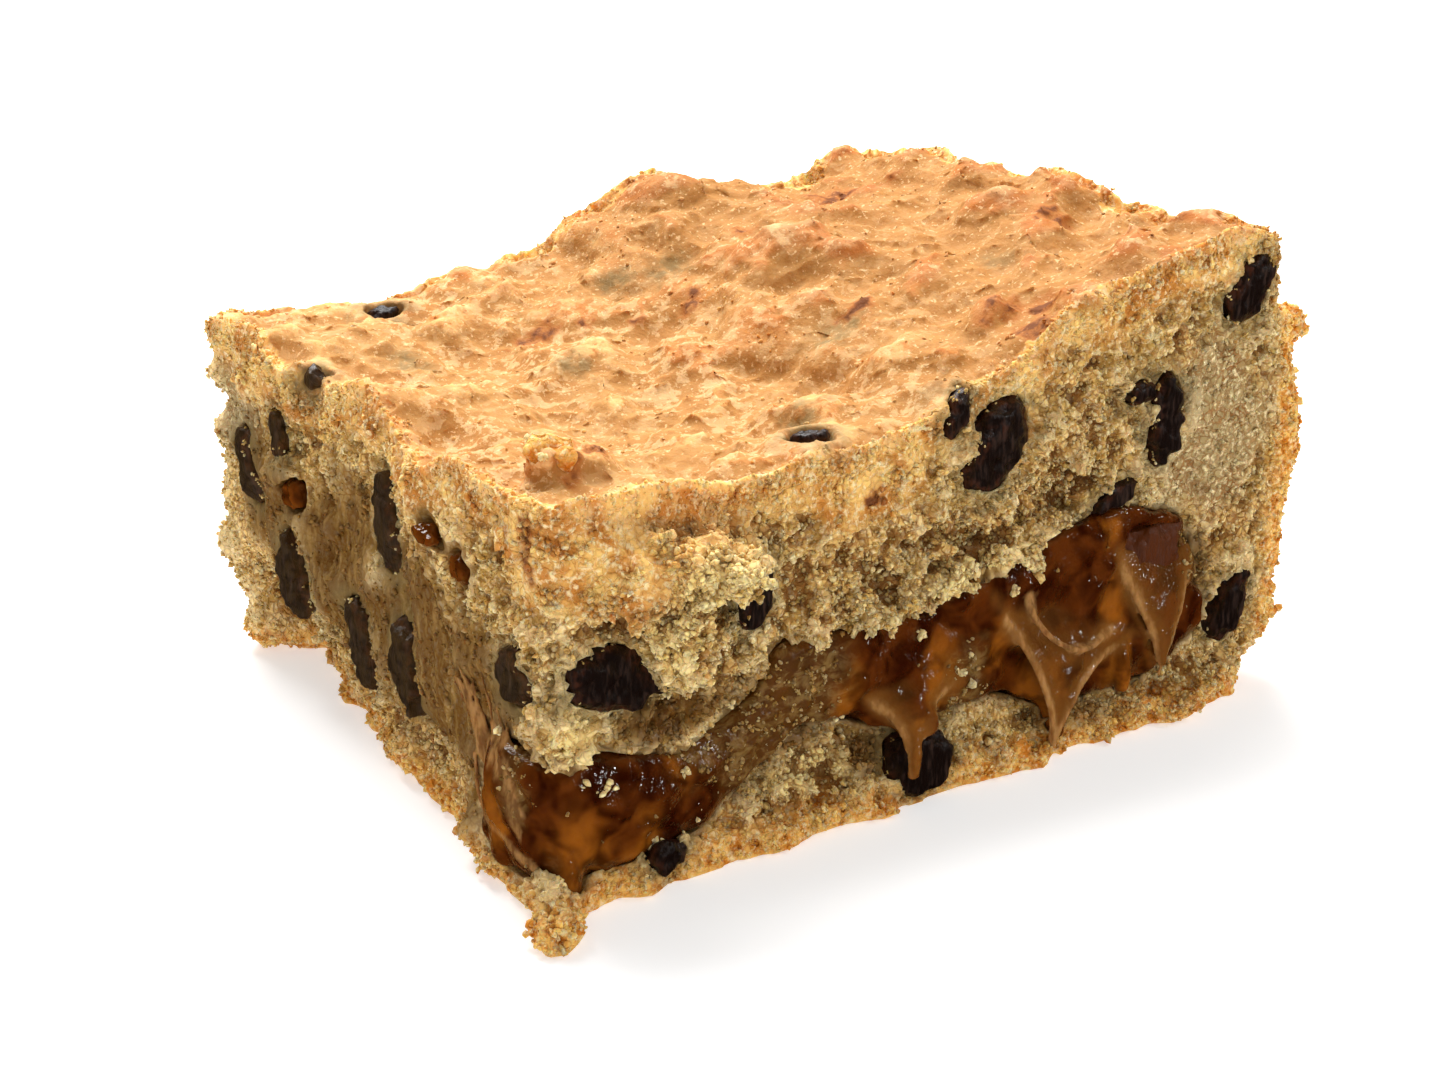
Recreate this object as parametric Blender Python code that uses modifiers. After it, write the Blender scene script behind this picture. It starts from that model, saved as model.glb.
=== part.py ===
"""Caramel chocolate chip bar, cut from the edge of a tray bake.

Units are metres and +Z is up. While the bar is built, the near bottom corner of the cut
block is the origin, +X runs along its long cut face and +Y away from that face. At the
end everything is moved together, so that the origin is the middle of the base.
"""

import math
import random

import bmesh
import bpy
from mathutils import Euler, Matrix, Vector, noise
from mathutils.bvhtree import BVHTree

MM = 0.001

# The cut block. The pan wall was at +X, and the other three sides are knife cuts.
LENGTH = 83 * MM
DEPTH = 65 * MM
PLAIN_HEIGHT = 40 * MM
BELOW_BASE = 2 * MM  # the block starts this far below its base and is then cut flat
EDGE_REACH = 11 * MM  # how far the relief of a side carries on over the top
EDGE_RADIUS = 2 * MM  # of the four upright edges

# Height of the baked top along each edge: (distance along the edge, height)
FRONT_TOP = [
    (0, 36.6), (10, 35.6), (21, 34.0), (37, 36.2), (46, 39.0), (58, 44.2), (67, 47.6), (83, 47.2),
]
BACK_TOP = [
    (0, 36.6), (11, 35.2), (17, 34.0), (24, 36.0), (31, 36.2), (36, 37.4), (42, 42.2), (50, 45.4),
    (57, 42.8), (64, 40.6), (72, 42.6), (78, 44.6), (83, 43.6),
]
LEFT_TOP = [(0, 36.6), (12, 35.8), (24, 33.6), (33, 36.0), (46, 34.8), (57, 37.2), (65, 37.2)]
RIGHT_TOP = [(0, 47.2), (16, 46.0), (30, 47.0), (38, 46.0), (55, 44.8), (65, 43.0)]

# Lower and upper edge of the caramel along the long cut face and along the back one
FRONT_CARAMEL_LOW = [
    (0, 2.4), (14, 3.2), (20, 7.0), (26, 10.4), (36, 7.4), (47, 7.4), (55, 4.6), (66, 4.6), (74, 7.5),
]
FRONT_CARAMEL_HIGH = [
    (0, 13.6), (13, 11.0), (19, 12.0), (25, 18.2), (39, 17.0), (47, 20.2), (61, 22.4), (69, 20.0),
    (74, 10.5),
]
BACK_CARAMEL_LOW = [(0, 7.0), (18, 5.6), (34, 8.6), (52, 5.0), (66, 6.4), (74, 8.5)]
BACK_CARAMEL_HIGH = [(0, 10.0), (18, 14.6), (34, 15.4), (52, 19.0), (66, 16.0), (74, 11.5)]
CARAMEL_RIGHT_END = 73 * MM
CARAMEL_LEFT_EDGE = [(0, -0.9), (7, -0.8), (14, 4.5), (40, 8.0), (65, 6.5)]

# How far the foot of the left side is tucked in, along that side
LEFT_FOOT = [(0, -0.6), (13, -0.3), (21, 2.0), (30, 2.0), (46, 4.6), (60, 8.4), (65, 4.0)]

# Sizes of the relief
PILLOW_SIZE = 15 * MM
PILLOW_HEIGHT = 2.0 * MM
CRAG_SIZE = 4.2 * MM
CRAG_DEPTH = 1.1 * MM

GAP = 0.35 * MM  # clearance round every piece that is set into the dough
DOUGH_GRID = 1.6 * MM
DOUGH_VOXEL = 0.95 * MM
DOUGH_TRIANGLES = 4500
CARAMEL_GRID = 1.8 * MM
CARAMEL_VOXEL = 0.8 * MM
CARAMEL_TRIANGLES = 1200

# Lumps of dough that stand out of the block: (x, y, z, radius)
LUMPS = [
    # the broken lump that overhangs the long face by the near corner, and its tongue
    (8.0, -0.8, 28.4, 4.0), (12.8, -3.0, 28.8, 3.6), (16.2, -3.2, 27.8, 2.7), (17.8, -2.4, 27.0, 1.8),
    (10.0, -2.4, 25.0, 3.4), (10.8, -3.0, 21.6, 3.1), (13.2, -2.6, 21.2, 2.4), (12.0, -2.8, 19.4, 1.8),
    # crumbs that hang over the caramel at the near corner
    (0.2, -0.3, 16.0, 2.2), (2.2, -0.6, 13.8, 1.7),
    # the shelf over the middle of the caramel, and its finger
    (26.5, 0.0, 19.6, 2.0), (31.0, -0.2, 19.8, 2.3), (36.0, -0.1, 19.4, 2.4), (41.5, 0.2, 20.2, 2.2),
    (45.0, 0.0, 20.4, 1.9), (47.8, -0.3, 21.2, 1.9), (50.0, -0.4, 22.2, 1.7),
    # the crumb that has slid down to the table at the near corner
    (-0.2, -0.5, 2.6, 2.1), (-1.4, -2.4, 2.7, 1.8), (-1.9, -4.4, 1.6, 2.2), (-2.4, -5.2, 0.9, 1.8),
    (-0.4, -3.9, 0.8, 1.7),
    # crumbs at the far end of the left side
    (2.4, 63.6, 8.4, 2.6), (3.4, 63.0, 3.2, 3.2), (6.4, 61.4, 2.2, 2.8), (0.6, 63.2, 11.6, 2.0),
    (0.3, 64.0, 30.0, 1.5), (0.5, 64.0, 24.2, 1.7), (0.0, 64.2, 12.2, 1.8), (0.6, 63.8, 17.6, 1.6),
    (0.9, 63.4, 34.4, 2.2),
    # browned crumbs on the pan side
    (83.6, 2.0, 36.6, 2.1), (83.4, 3.4, 12.4, 2.4), (83.0, 2.4, 6.4, 2.3), (83.6, 3.0, 28.4, 2.2),
    (83.6, 2.4, 22.4, 2.1),
    # a piece of crust lifted off the top by the near corner
    (5.4, 6.6, 36.2, 2.6), (7.6, 6.0, 35.8, 2.4), (6.6, 8.2, 35.8, 2.4),
]

# Crumbs too small to place one by one: the least and the greatest radius of each kind
FOOT_CRUMB_RADII = (1.0 * MM, 1.9 * MM)
CUT_CRUMB_RADII = (0.9 * MM, 1.6 * MM)
PAN_CRUMB_RADII = (1.0 * MM, 2.0 * MM)
FOOT_CRUMB_HEIGHTS = (0.6 * MM, 3.4 * MM)
FOOT_CRUMBS = {"front": 34, "left": 24, "back": 26, "right": 20}
CUT_CRUMBS = {"front": 23, "back": 23, "left": 26}
PAN_CRUMBS = 34

# Chips: node name: (side, distance along, height, width, height of chip, depth, tilt in degrees)
CHIPS = {
    "chip_under_lump": ("front", 6.6, 19.9, 11.4, 5.4, 5.0, 7),
    "chip_by_lump": ("front", 20.4, 23.6, 3.6, 6.4, 4.0, 12),
    "chip_upper_middle": ("front", 45.5, 31.3, 5.9, 9.8, 5.0, 30),
    "chip_shell": ("front", 41.4, 35.2, 1.8, 4.8, 3.5, 38),
    "chip_upright": ("front", 66.2, 30.4, 3.4, 8.8, 4.5, 4),
    "chip_upright_arm": ("front", 62.6, 33.6, 3.6, 1.7, 2.6, 0),
    "chip_top_corner": ("front", 76.0, 41.4, 4.4, 7.4, 4.5, 28),
    "chip_slit": ("front", 61.2, 23.6, 6.0, 1.7, 3.0, -24),
    "chip_in_caramel": ("front", 65.6, 17.2, 8.0, 6.2, 5.0, -8),
    "chip_low_right": ("front", 77.0, 9.4, 3.8, 8.4, 4.5, 22),
    "chip_under_drip": ("front", 37.4, 3.9, 7.0, 5.8, 4.5, 6),
    "chip_base_small": ("front", 10.4, 3.0, 3.2, 2.5, 2.6, 0),
    "chip_left_far": ("left", 57.6, 22.4, 4.0, 7.6, 4.5, 14),
    "chip_left_thin": ("left", 49.6, 27.2, 2.2, 5.2, 3.0, 12),
    "chip_left_tall": ("left", 49.2, 13.4, 3.8, 8.6, 4.5, 6),
    "chip_left_middle": ("left", 30.0, 24.6, 3.6, 9.6, 4.5, 4),
    "chip_left_low_far": ("left", 36.4, 11.0, 4.6, 9.0, 4.5, 24),
    "chip_left_low": ("left", 26.0, 12.2, 4.2, 9.4, 4.5, 20),
    "chip_left_corner": ("left", 4.8, 19.4, 5.4, 5.0, 3.5, 20),
    "chip_left_rim": ("left", 46.2, 33.6, 2.8, 3.2, 2.6, 0),
    "chip_top_hole": ("top", 28.4, 3.8, 4.2, 3.0, 3.0, 15),
    "chip_top_back": ("top", 16.8, 61.0, 4.0, 3.0, 3.0, 10),
    "chip_back_1": ("back", 12.5, 24.0, 5.6, 7.6, 4.5, 30),
    "chip_back_2": ("back", 29.0, 27.5, 8.0, 5.0, 4.5, -16),
    "chip_back_3": ("back", 47.0, 32.5, 4.2, 7.8, 4.5, 12),
    "chip_back_4": ("back", 66.0, 27.0, 6.4, 7.4, 4.5, 40),
    "chip_back_5": ("back", 40.0, 3.6, 6.8, 4.2, 4.0, -8),
    "chip_back_6": ("back", 75.5, 35.5, 5.0, 6.2, 4.0, 62),
}

# Small pockets of caramel that a knife has opened: the same measures as a chip
CARAMEL_POCKETS = {
    "caramel_pocket_far": ("left", 48.4, 21.8, 4.2, 3.6, 3.0, 10),
    "caramel_pocket_upper": ("left", 16.8, 28.2, 4.0, 2.0, 2.6, -15),
    "caramel_pocket_lower": ("left", 12.6, 26.4, 3.4, 3.4, 2.4, 10),
}

# For each side of the block: the direction that the side faces, and the one that "along" runs in
SIDES = {
    "front": (Vector((0, -1, 0)), Vector((1, 0, 0))),
    "back": (Vector((0, 1, 0)), Vector((1, 0, 0))),
    "left": (Vector((-1, 0, 0)), Vector((0, 1, 0))),
    "top": (Vector((0, 0, 1)), Vector((1, 0, 0))),
}


def ease(value, start, end):
    """0 before start, 1 after end, and a smooth step between them."""
    t = min(1.0, max(0.0, (value - start) / (end - start)))
    return t * t * (3 - 2 * t)


def bump(value, centre, width):
    """1 at the centre, falling away to both sides."""
    return math.exp(-(((value - centre) / width) ** 2))


def along(profile, place):
    """Height, in metres, of a profile given in millimetres, eased from point to point."""
    place = place / MM
    if place <= profile[0][0]:
        return profile[0][1] * MM
    for (start, low), (end, high) in zip(profile, profile[1:]):
        if place <= end:
            return (low + (high - low) * ease(place, start, end)) * MM
    return profile[-1][1] * MM


def crags(point):
    """Broken crumb: coarse crags with finer ones on them."""
    coarse = noise.noise(point / CRAG_SIZE)
    fine = noise.noise(point / (0.5 * CRAG_SIZE) + Vector((7, 3, 5)))
    return CRAG_DEPTH * (coarse + 0.5 * fine)


def pillows(x, y):
    """The top rose in soft mounds, with a crease where two of them meet."""
    wander = 0.25 * noise.noise(Vector((x, y, 0)) / (9 * MM))
    place = Vector((x / PILLOW_SIZE + wander, y / (0.8 * PILLOW_SIZE) - wander, 4.2))
    nearest, second = noise.voronoi(place)[0][:2]
    crease = min(1.0, 2.2 * (second - nearest))
    ripple = noise.noise(Vector((x / (5 * MM), y / (2.6 * MM), 1.0)))
    return PILLOW_HEIGHT * (math.sqrt(crease) - 0.7) + 0.35 * MM * ripple


def top_height(x, y):
    """Height of the baked top, blended from its four edges."""
    u = min(1.0, max(0.0, x / LENGTH))
    v = min(1.0, max(0.0, y / DEPTH))
    from_faces = along(FRONT_TOP, x) * (1 - v) + along(BACK_TOP, x) * v
    from_ends = along(LEFT_TOP, y) * (1 - u) + along(RIGHT_TOP, y) * u
    front_corners = FRONT_TOP[0][1] * (1 - u) + FRONT_TOP[-1][1] * u
    back_corners = BACK_TOP[0][1] * (1 - u) + BACK_TOP[-1][1] * u
    corners = (front_corners * (1 - v) + back_corners * v) * MM
    return from_faces + from_ends - corners + pillows(x, y)


def band_recess(x, z, low, high):
    """How far the crumb falls back where the soft caramel band meets a cut face."""
    middle = 0.5 * (along(low, x) + along(high, x))
    half = 0.5 * (along(high, x) - along(low, x)) + 1 * MM
    inside = ease(x, 8 * MM, 22 * MM) * (1 - ease(x, 70 * MM, 78 * MM))
    return inside * bump(z, middle, half)


def front_relief(x, z):
    """How far the long cut face stands out."""
    recess = 2.4 * MM * band_recess(x, z, FRONT_CARAMEL_LOW, FRONT_CARAMEL_HIGH)
    near_block = 1.0 * MM * (1 - ease(x, 4 * MM, 12 * MM)) * ease(z, 12 * MM, 18 * MM)
    foot = 1.5 * MM * bump(z, 0, 4 * MM)
    return crags(Vector((x, 0, z))) - recess + near_block + foot


def back_relief(x, z):
    """How far the cut face at the back stands out."""
    recess = 1.8 * MM * band_recess(x, z, BACK_CARAMEL_LOW, BACK_CARAMEL_HIGH)
    return crags(Vector((x, DEPTH, z))) - recess + 0.6 * MM * bump(z, 0, 4 * MM)


def left_relief(y, z):
    """The left cut steps back in three panels, and its far foot has crumbled away."""
    undercut = along(LEFT_FOOT, y) * (1 - ease(z, 2 * MM, 15 * MM))
    within_panel = ease(y, 22.5 * MM, 25 * MM) * (1 - ease(y, 43 * MM, 48 * MM))
    panel = 1.5 * MM * within_panel * ease(z, 8 * MM, 20 * MM)
    crack = 1.6 * MM * bump(y, 45.5 * MM, 1.3 * MM) * ease(z, 20 * MM, 28 * MM)
    near_bulge = 0.8 * MM * bump(y, 16 * MM, 8 * MM) * ease(z, 16 * MM, 24 * MM)
    return crags(Vector((0, y, z))) - undercut - panel - crack + near_bulge


def right_relief(y, z):
    """The crust that stood against the pan wall: bulged, rounded in at the foot and at the rim."""
    belly = 3.2 * MM * bump(z, 23 * MM, 14 * MM)
    rim = 3.4 * MM * ease(z, 0.8 * PLAIN_HEIGHT, PLAIN_HEIGHT)
    foot = 8.5 * MM * (1 - ease(z, -BELOW_BASE, 7 * MM))
    dent = 1.6 * MM * bump(z, 16.5 * MM, 1.8 * MM) * bump(y, 0, 14 * MM)
    return belly - rim - foot - dent + 0.8 * crags(Vector((LENGTH, y, z)))


def rounded(x, y, low, high, radius):
    """Rounds the upright edges of a block whose plan is the rectangle from low to high."""
    inward_x = 1 if x < (low[0] + high[0]) / 2 else -1
    inward_y = 1 if y < (low[1] + high[1]) / 2 else -1
    arc_x = (low[0] if inward_x > 0 else high[0]) + inward_x * radius
    arc_y = (low[1] if inward_y > 0 else high[1]) + inward_y * radius
    out_x = (arc_x - x) * inward_x
    out_y = (arc_y - y) * inward_y
    if min(out_x, out_y) <= 0:
        return x, y
    shrink = max(out_x, out_y) / math.hypot(out_x, out_y)
    return arc_x - inward_x * out_x * shrink, arc_y - inward_y * out_y * shrink


def baked(point):
    """Moves a point of the plain block to its place on the baked and cut bar."""
    x, y, z = point
    x, y = rounded(x, y, (0, 0), (LENGTH, DEPTH), EDGE_RADIUS)
    if z > 0:
        z *= top_height(x, y) / PLAIN_HEIGHT
    front = max(0.0, 1 - y / EDGE_REACH)
    back = max(0.0, 1 - (DEPTH - y) / EDGE_REACH)
    left = max(0.0, 1 - x / EDGE_REACH)
    right = max(0.0, 1 - (LENGTH - x) / EDGE_REACH)
    across = right * right_relief(y, z) - left * left_relief(y, z) if left or right else 0.0
    away = back * back_relief(x, z) - front * front_relief(x, z) if front or back else 0.0
    return Vector((x + across, y + away, z))


def new_object(name, shape, collection):
    """An object in that collection, with the shape of a bmesh."""
    mesh = bpy.data.meshes.new(name)
    shape.to_mesh(mesh)
    shape.free()
    made = bpy.data.objects.new(name, mesh)
    collection.objects.link(made)
    return made


def add_grid_box(shape, low, high, step):
    """A box whose faces are cut into squares of about one step."""
    size = high - low
    place = Matrix.Translation((low + high) / 2) @ Matrix.Diagonal((*size, 1))
    bmesh.ops.create_cube(shape, size=1, matrix=place)
    for axis in range(3):
        direction = Vector((0, 0, 0))
        direction[axis] = 1
        count = round(size[axis] / step)
        for i in range(1, count):
            bmesh.ops.bisect_plane(
                shape,
                geom=shape.verts[:] + shape.edges[:] + shape.faces[:],
                dist=0.01 * MM,
                plane_co=low + direction * (size[axis] * i / count),
                plane_no=direction,
            )


def add_lump(shape, centre, radius, stretch=(1, 1, 1), turn=(0, 0, 0), roundness=2, knobbly=0.16):
    """An uneven ball, which is what a crumb or a chip is before it is set in place."""
    ball = bmesh.ops.create_icosphere(shape, subdivisions=roundness, radius=1)
    turned = Euler(turn).to_matrix()
    for vertex in ball["verts"]:
        swell = 1 + knobbly * noise.noise(vertex.co * 1.9 + centre / (2 * MM))
        local = Vector(vertex.co * swell * radius) * Vector(stretch)
        vertex.co = centre + turned @ local
    return ball["verts"]


def settled(made, voxel, triangles):
    """Fuses a piece's overlapping shapes into one skin, and thins that to a number of triangles."""
    remesh = made.modifiers.new("Fuse", "REMESH")
    remesh.mode = "VOXEL"
    remesh.voxel_size = voxel
    evaluated = made.evaluated_get(bpy.context.evaluated_depsgraph_get())
    fused_count = 2 * len(evaluated.data.polygons)
    thin = made.modifiers.new("Thin", "DECIMATE")
    thin.ratio = triangles / fused_count
    evaluated = made.evaluated_get(bpy.context.evaluated_depsgraph_get())
    mesh = bpy.data.meshes.new_from_object(evaluated)
    made.modifiers.clear()
    made.data = mesh
    return made


def add_foot_crumbs(shape, random_draw):
    """Crumbs all round the foot of the bar, where the base crust broke as it was lifted."""
    short_of_pan = LENGTH - 5 * MM
    runs = [
        (Vector((0, 0, 0)), Vector((short_of_pan, 0, 0)), FOOT_CRUMBS["front"]),
        (Vector((0, 0, 0)), Vector((0, DEPTH, 0)), FOOT_CRUMBS["left"]),
        (Vector((0, DEPTH, 0)), Vector((short_of_pan, DEPTH, 0)), FOOT_CRUMBS["back"]),
        (Vector((LENGTH, 0, 0)), Vector((LENGTH, DEPTH, 0)), FOOT_CRUMBS["right"]),
    ]
    for start, end, count in runs:
        for i in range(count):
            share = (i + random_draw.uniform(0.1, 0.9)) / count
            up = Vector((0, 0, random_draw.uniform(*FOOT_CRUMB_HEIGHTS)))
            radius = random_draw.uniform(*FOOT_CRUMB_RADII)
            add_lump(shape, baked(start.lerp(end, share) + up), radius)


def add_face_crumbs(shape, random_draw):
    """Crags of crumb over the cut faces and browned ones over the pan side."""
    margin = 2 * MM
    for y, count in ((0, CUT_CRUMBS["front"]), (DEPTH, CUT_CRUMBS["back"])):
        for _ in range(count):
            x = random_draw.uniform(margin, LENGTH - margin)
            z = random_draw.uniform(0.62, 0.95) * PLAIN_HEIGHT
            add_lump(shape, baked((x, y, z)), random_draw.uniform(*CUT_CRUMB_RADII))
    for _ in range(CUT_CRUMBS["left"]):
        y = random_draw.uniform(margin, DEPTH - margin)
        z = random_draw.uniform(0.15, 0.9) * PLAIN_HEIGHT
        add_lump(shape, baked((0, y, z)), random_draw.uniform(*CUT_CRUMB_RADII))
    for _ in range(PAN_CRUMBS):
        y = random_draw.uniform(margin, DEPTH - margin)
        z = random_draw.uniform(0.08, 0.85) * PLAIN_HEIGHT
        add_lump(shape, baked((LENGTH, y, z)), random_draw.uniform(*PAN_CRUMB_RADII))


def make_dough(collection):
    """The baked block with its crags and crumbs, before anything is set into it."""
    shape = bmesh.new()
    add_grid_box(shape, Vector((0, 0, -BELOW_BASE)), Vector((LENGTH, DEPTH, PLAIN_HEIGHT)), DOUGH_GRID)
    for vertex in shape.verts:
        vertex.co = baked(vertex.co)
    for x, y, z, radius in LUMPS:
        add_lump(shape, Vector((x, y, z)) * MM, radius * MM)
    random_draw = random.Random(11)
    add_foot_crumbs(shape, random_draw)
    add_face_crumbs(shape, random_draw)
    dough = new_object("cookie_dough", shape, collection)
    return settled(dough, DOUGH_VOXEL, DOUGH_TRIANGLES)


def caramel_point(share):
    """Place in the caramel layer of a point given by its share of the way across each axis."""
    u, v, w = share
    y = -0.2 * MM + (DEPTH + 0.6 * MM) * v
    left = along(CARAMEL_LEFT_EDGE, y)
    wave = 1.2 * MM * noise.noise(Vector((3, y / (9 * MM), 0)))
    x = left + (CARAMEL_RIGHT_END + wave - left) * u
    near_corner = (CARAMEL_LEFT_EDGE[0][1] * MM, -0.2 * MM)
    x, y = rounded(x, y, near_corner, (2 * LENGTH, 2 * DEPTH), 4 * MM)
    back = ease(v, 0.15, 0.7)
    low = along(FRONT_CARAMEL_LOW, x) * (1 - back) + along(BACK_CARAMEL_LOW, x) * back
    high = along(FRONT_CARAMEL_HIGH, x) * (1 - back) + along(BACK_CARAMEL_HIGH, x) * back
    flow = 0.5 * MM * noise.noise(Vector((x, y, w * 9 * MM)) / (6 * MM))
    belly = 1 - (2 * w - 1) ** 2
    bulge = 1.1 * MM * belly * (max(0.0, 1 - 9 * v) - max(0.0, 9 * v - 8))
    sink = 1.6 * MM * band_recess(x, low + (high - low) * w, FRONT_CARAMEL_LOW, FRONT_CARAMEL_HIGH)
    sink *= max(0.0, 1 - 6 * v)
    swell_left = 0.6 * MM * belly * max(0.0, 1 - 12 * u)
    return Vector((x - swell_left, y - bulge + sink, low + (high - low) * w + flow))


# Drips of caramel down the long face: (x, y, z, radius) from the top of each down
CARAMEL_DRIPS = [
    [(37.4, 0.6, 9.0, 2.6), (37.5, -0.6, 7.0, 1.7), (37.6, -1.2, 5.2, 1.2), (37.6, -1.3, 3.9, 1.1)],
    [(54.5, 1.4, 9.0, 3.2), (54.2, 0.2, 6.4, 1.9), (53.9, -0.7, 4.2, 1.2), (53.7, -0.9, 2.6, 1.0)],
    [(1.6, 0.6, 4.0, 2.0), (1.4, -0.8, 2.6, 1.3)],
]


def make_caramel(collection):
    """The layer of caramel, which runs through the bar from the long face to the back one."""
    shape = bmesh.new()
    box = Vector((CARAMEL_RIGHT_END, DEPTH, 10 * MM))
    add_grid_box(shape, Vector((0, 0, 0)), box, CARAMEL_GRID)
    for vertex in shape.verts:
        vertex.co = caramel_point([vertex.co[axis] / box[axis] for axis in range(3)])
    for drip in CARAMEL_DRIPS:
        for x, y, z, radius in drip:
            add_lump(shape, Vector((x, y, z)) * MM, radius * MM, knobbly=0.05)
    caramel = new_object("caramel", shape, collection)
    return settled(caramel, CARAMEL_VOXEL, CARAMEL_TRIANGLES)


def surface_under(skin, side, distance, height):
    """The point where a line square to that side meets the dough or the caramel."""
    outward, across = SIDES[side]
    start = across * distance + outward * 2 * LENGTH
    if side == "top":
        start.y = height
    else:
        start.z = height
    return skin.ray_cast(start, -outward)[0]


def set_in(name, measures, skin, collection):
    """A chip or a pocket set into a side, its outer face cut off flush with that side."""
    side, distance, height, width, tall, deep, tilt = measures
    outward, across = SIDES[side]
    on_skin = surface_under(skin, side, distance * MM, height * MM)
    axes = Matrix((outward, across, outward.cross(across))).transposed()
    spin_axis = outward if side in ("left", "back") else -outward
    spin = Matrix.Rotation(math.radians(tilt), 3, spin_axis)
    centre = on_skin - outward * 0.28 * deep * MM
    shape = bmesh.new()
    verts = add_lump(shape, Vector((0, 0, 0)), 1, roundness=2, knobbly=0)
    sway = Vector((distance, height, tall))
    for vertex in verts:
        swell = 1 + 0.3 * noise.noise(vertex.co * 1.6 + sway)
        size = Vector((deep * 1.25, width, tall)) * 0.5 * MM
        local = vertex.co * swell * size
        vertex.co = centre + spin @ axes @ local
        proud = (vertex.co - on_skin).dot(outward) - 0.4 * MM
        if proud > 0:
            vertex.co -= outward * proud * 0.9
    return new_object(name, shape, collection)


def swollen_copy(made, collection):
    """A cutter: the same shape, grown by the clearance all round."""
    cutter = bpy.data.objects.new(made.name + "_cutter", made.data.copy())
    collection.objects.link(cutter)
    grow = cutter.modifiers.new("Grow", "DISPLACE")
    grow.strength = GAP
    grow.mid_level = 0
    cutter.hide_render = True
    cutter.display_type = "WIRE"
    return cutter


def cut_by(made, collection):
    """Takes every shape of a collection of cutters out of a piece."""
    cut = made.modifiers.new("Cut", "BOOLEAN")
    cut.operation = "DIFFERENCE"
    cut.operand_type = "COLLECTION"
    cut.collection = collection
    cut.solver = "EXACT"


def island(start):
    """Every vertex that edges join to this one."""
    found, waiting = {start}, [start]
    while waiting:
        vertex = waiting.pop()
        for edge in vertex.link_edges:
            other = edge.other_vert(vertex)
            if other not in found:
                found.add(other)
                waiting.append(other)
    return found


def without_loose_crumbs(made):
    """Makes the cuts final and takes away the slivers that they left loose from the piece."""
    evaluated = made.evaluated_get(bpy.context.evaluated_depsgraph_get())
    mesh = bpy.data.meshes.new_from_object(evaluated)
    shape = bmesh.new()
    shape.from_mesh(mesh)
    unseen = set(shape.verts)
    islands = []
    while unseen:
        islands.append(island(next(iter(unseen))))
        unseen -= islands[-1]
    islands.sort(key=len)
    loose = [vertex for part in islands[:-1] for vertex in part]
    bmesh.ops.delete(shape, geom=loose, context="VERTS")
    shape.to_mesh(mesh)
    shape.free()
    made.modifiers.clear()
    made.data = mesh


def make_table_cutter(collection):
    """A slab under the base, which cuts the foot of the bar flat."""
    shape = bmesh.new()
    size = Vector((2 * LENGTH, 2 * DEPTH, 8 * MM))
    centre = Vector((LENGTH / 2, DEPTH / 2, -size.z / 2))
    place = Matrix.Translation(centre) @ Matrix.Diagonal((*size, 1))
    bmesh.ops.create_cube(shape, size=1, matrix=place)
    table = new_object("table_cutter", shape, collection)
    table.hide_render = True
    table.display_type = "WIRE"


def food_material(name, colour, roughness):
    """A plain matt or glossy finish of one colour."""
    material = bpy.data.materials.new(name)
    material.use_nodes = True
    shader = material.node_tree.nodes["Principled BSDF"]
    shader.inputs["Base Color"].default_value = (*colour, 1)
    shader.inputs["Roughness"].default_value = roughness
    shader.inputs["Metallic"].default_value = 0
    material.diffuse_color = (*colour, 1)
    return material


def centre_on_base(pieces, everything):
    """Moves every object so that the middle of the pieces' box, at its base, is the origin."""
    graph = bpy.context.evaluated_depsgraph_get()
    corners = [Vector(corner) for piece in pieces for corner in piece.evaluated_get(graph).bound_box]
    low = [min(corner[axis] for corner in corners) for axis in range(3)]
    high = [max(corner[axis] for corner in corners) for axis in range(3)]
    shift = Vector((-(low[0] + high[0]) / 2, -(low[1] + high[1]) / 2, -low[2]))
    for made in everything:
        made.data.transform(Matrix.Translation(shift))


def skin_of(pieces):
    """The outside of several pieces together, for finding where a side is."""
    corners, faces = [], []
    for piece in pieces:
        first = len(corners)
        corners += [vertex.co.copy() for vertex in piece.data.vertices]
        faces += [[first + index for index in face.vertices] for face in piece.data.polygons]
    return BVHTree.FromPolygons(corners, faces)


def new_collection(name):
    """A collection of the scene's own, with this name."""
    collection = bpy.data.collections.new(name)
    bpy.context.scene.collection.children.link(collection)
    return collection


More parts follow.
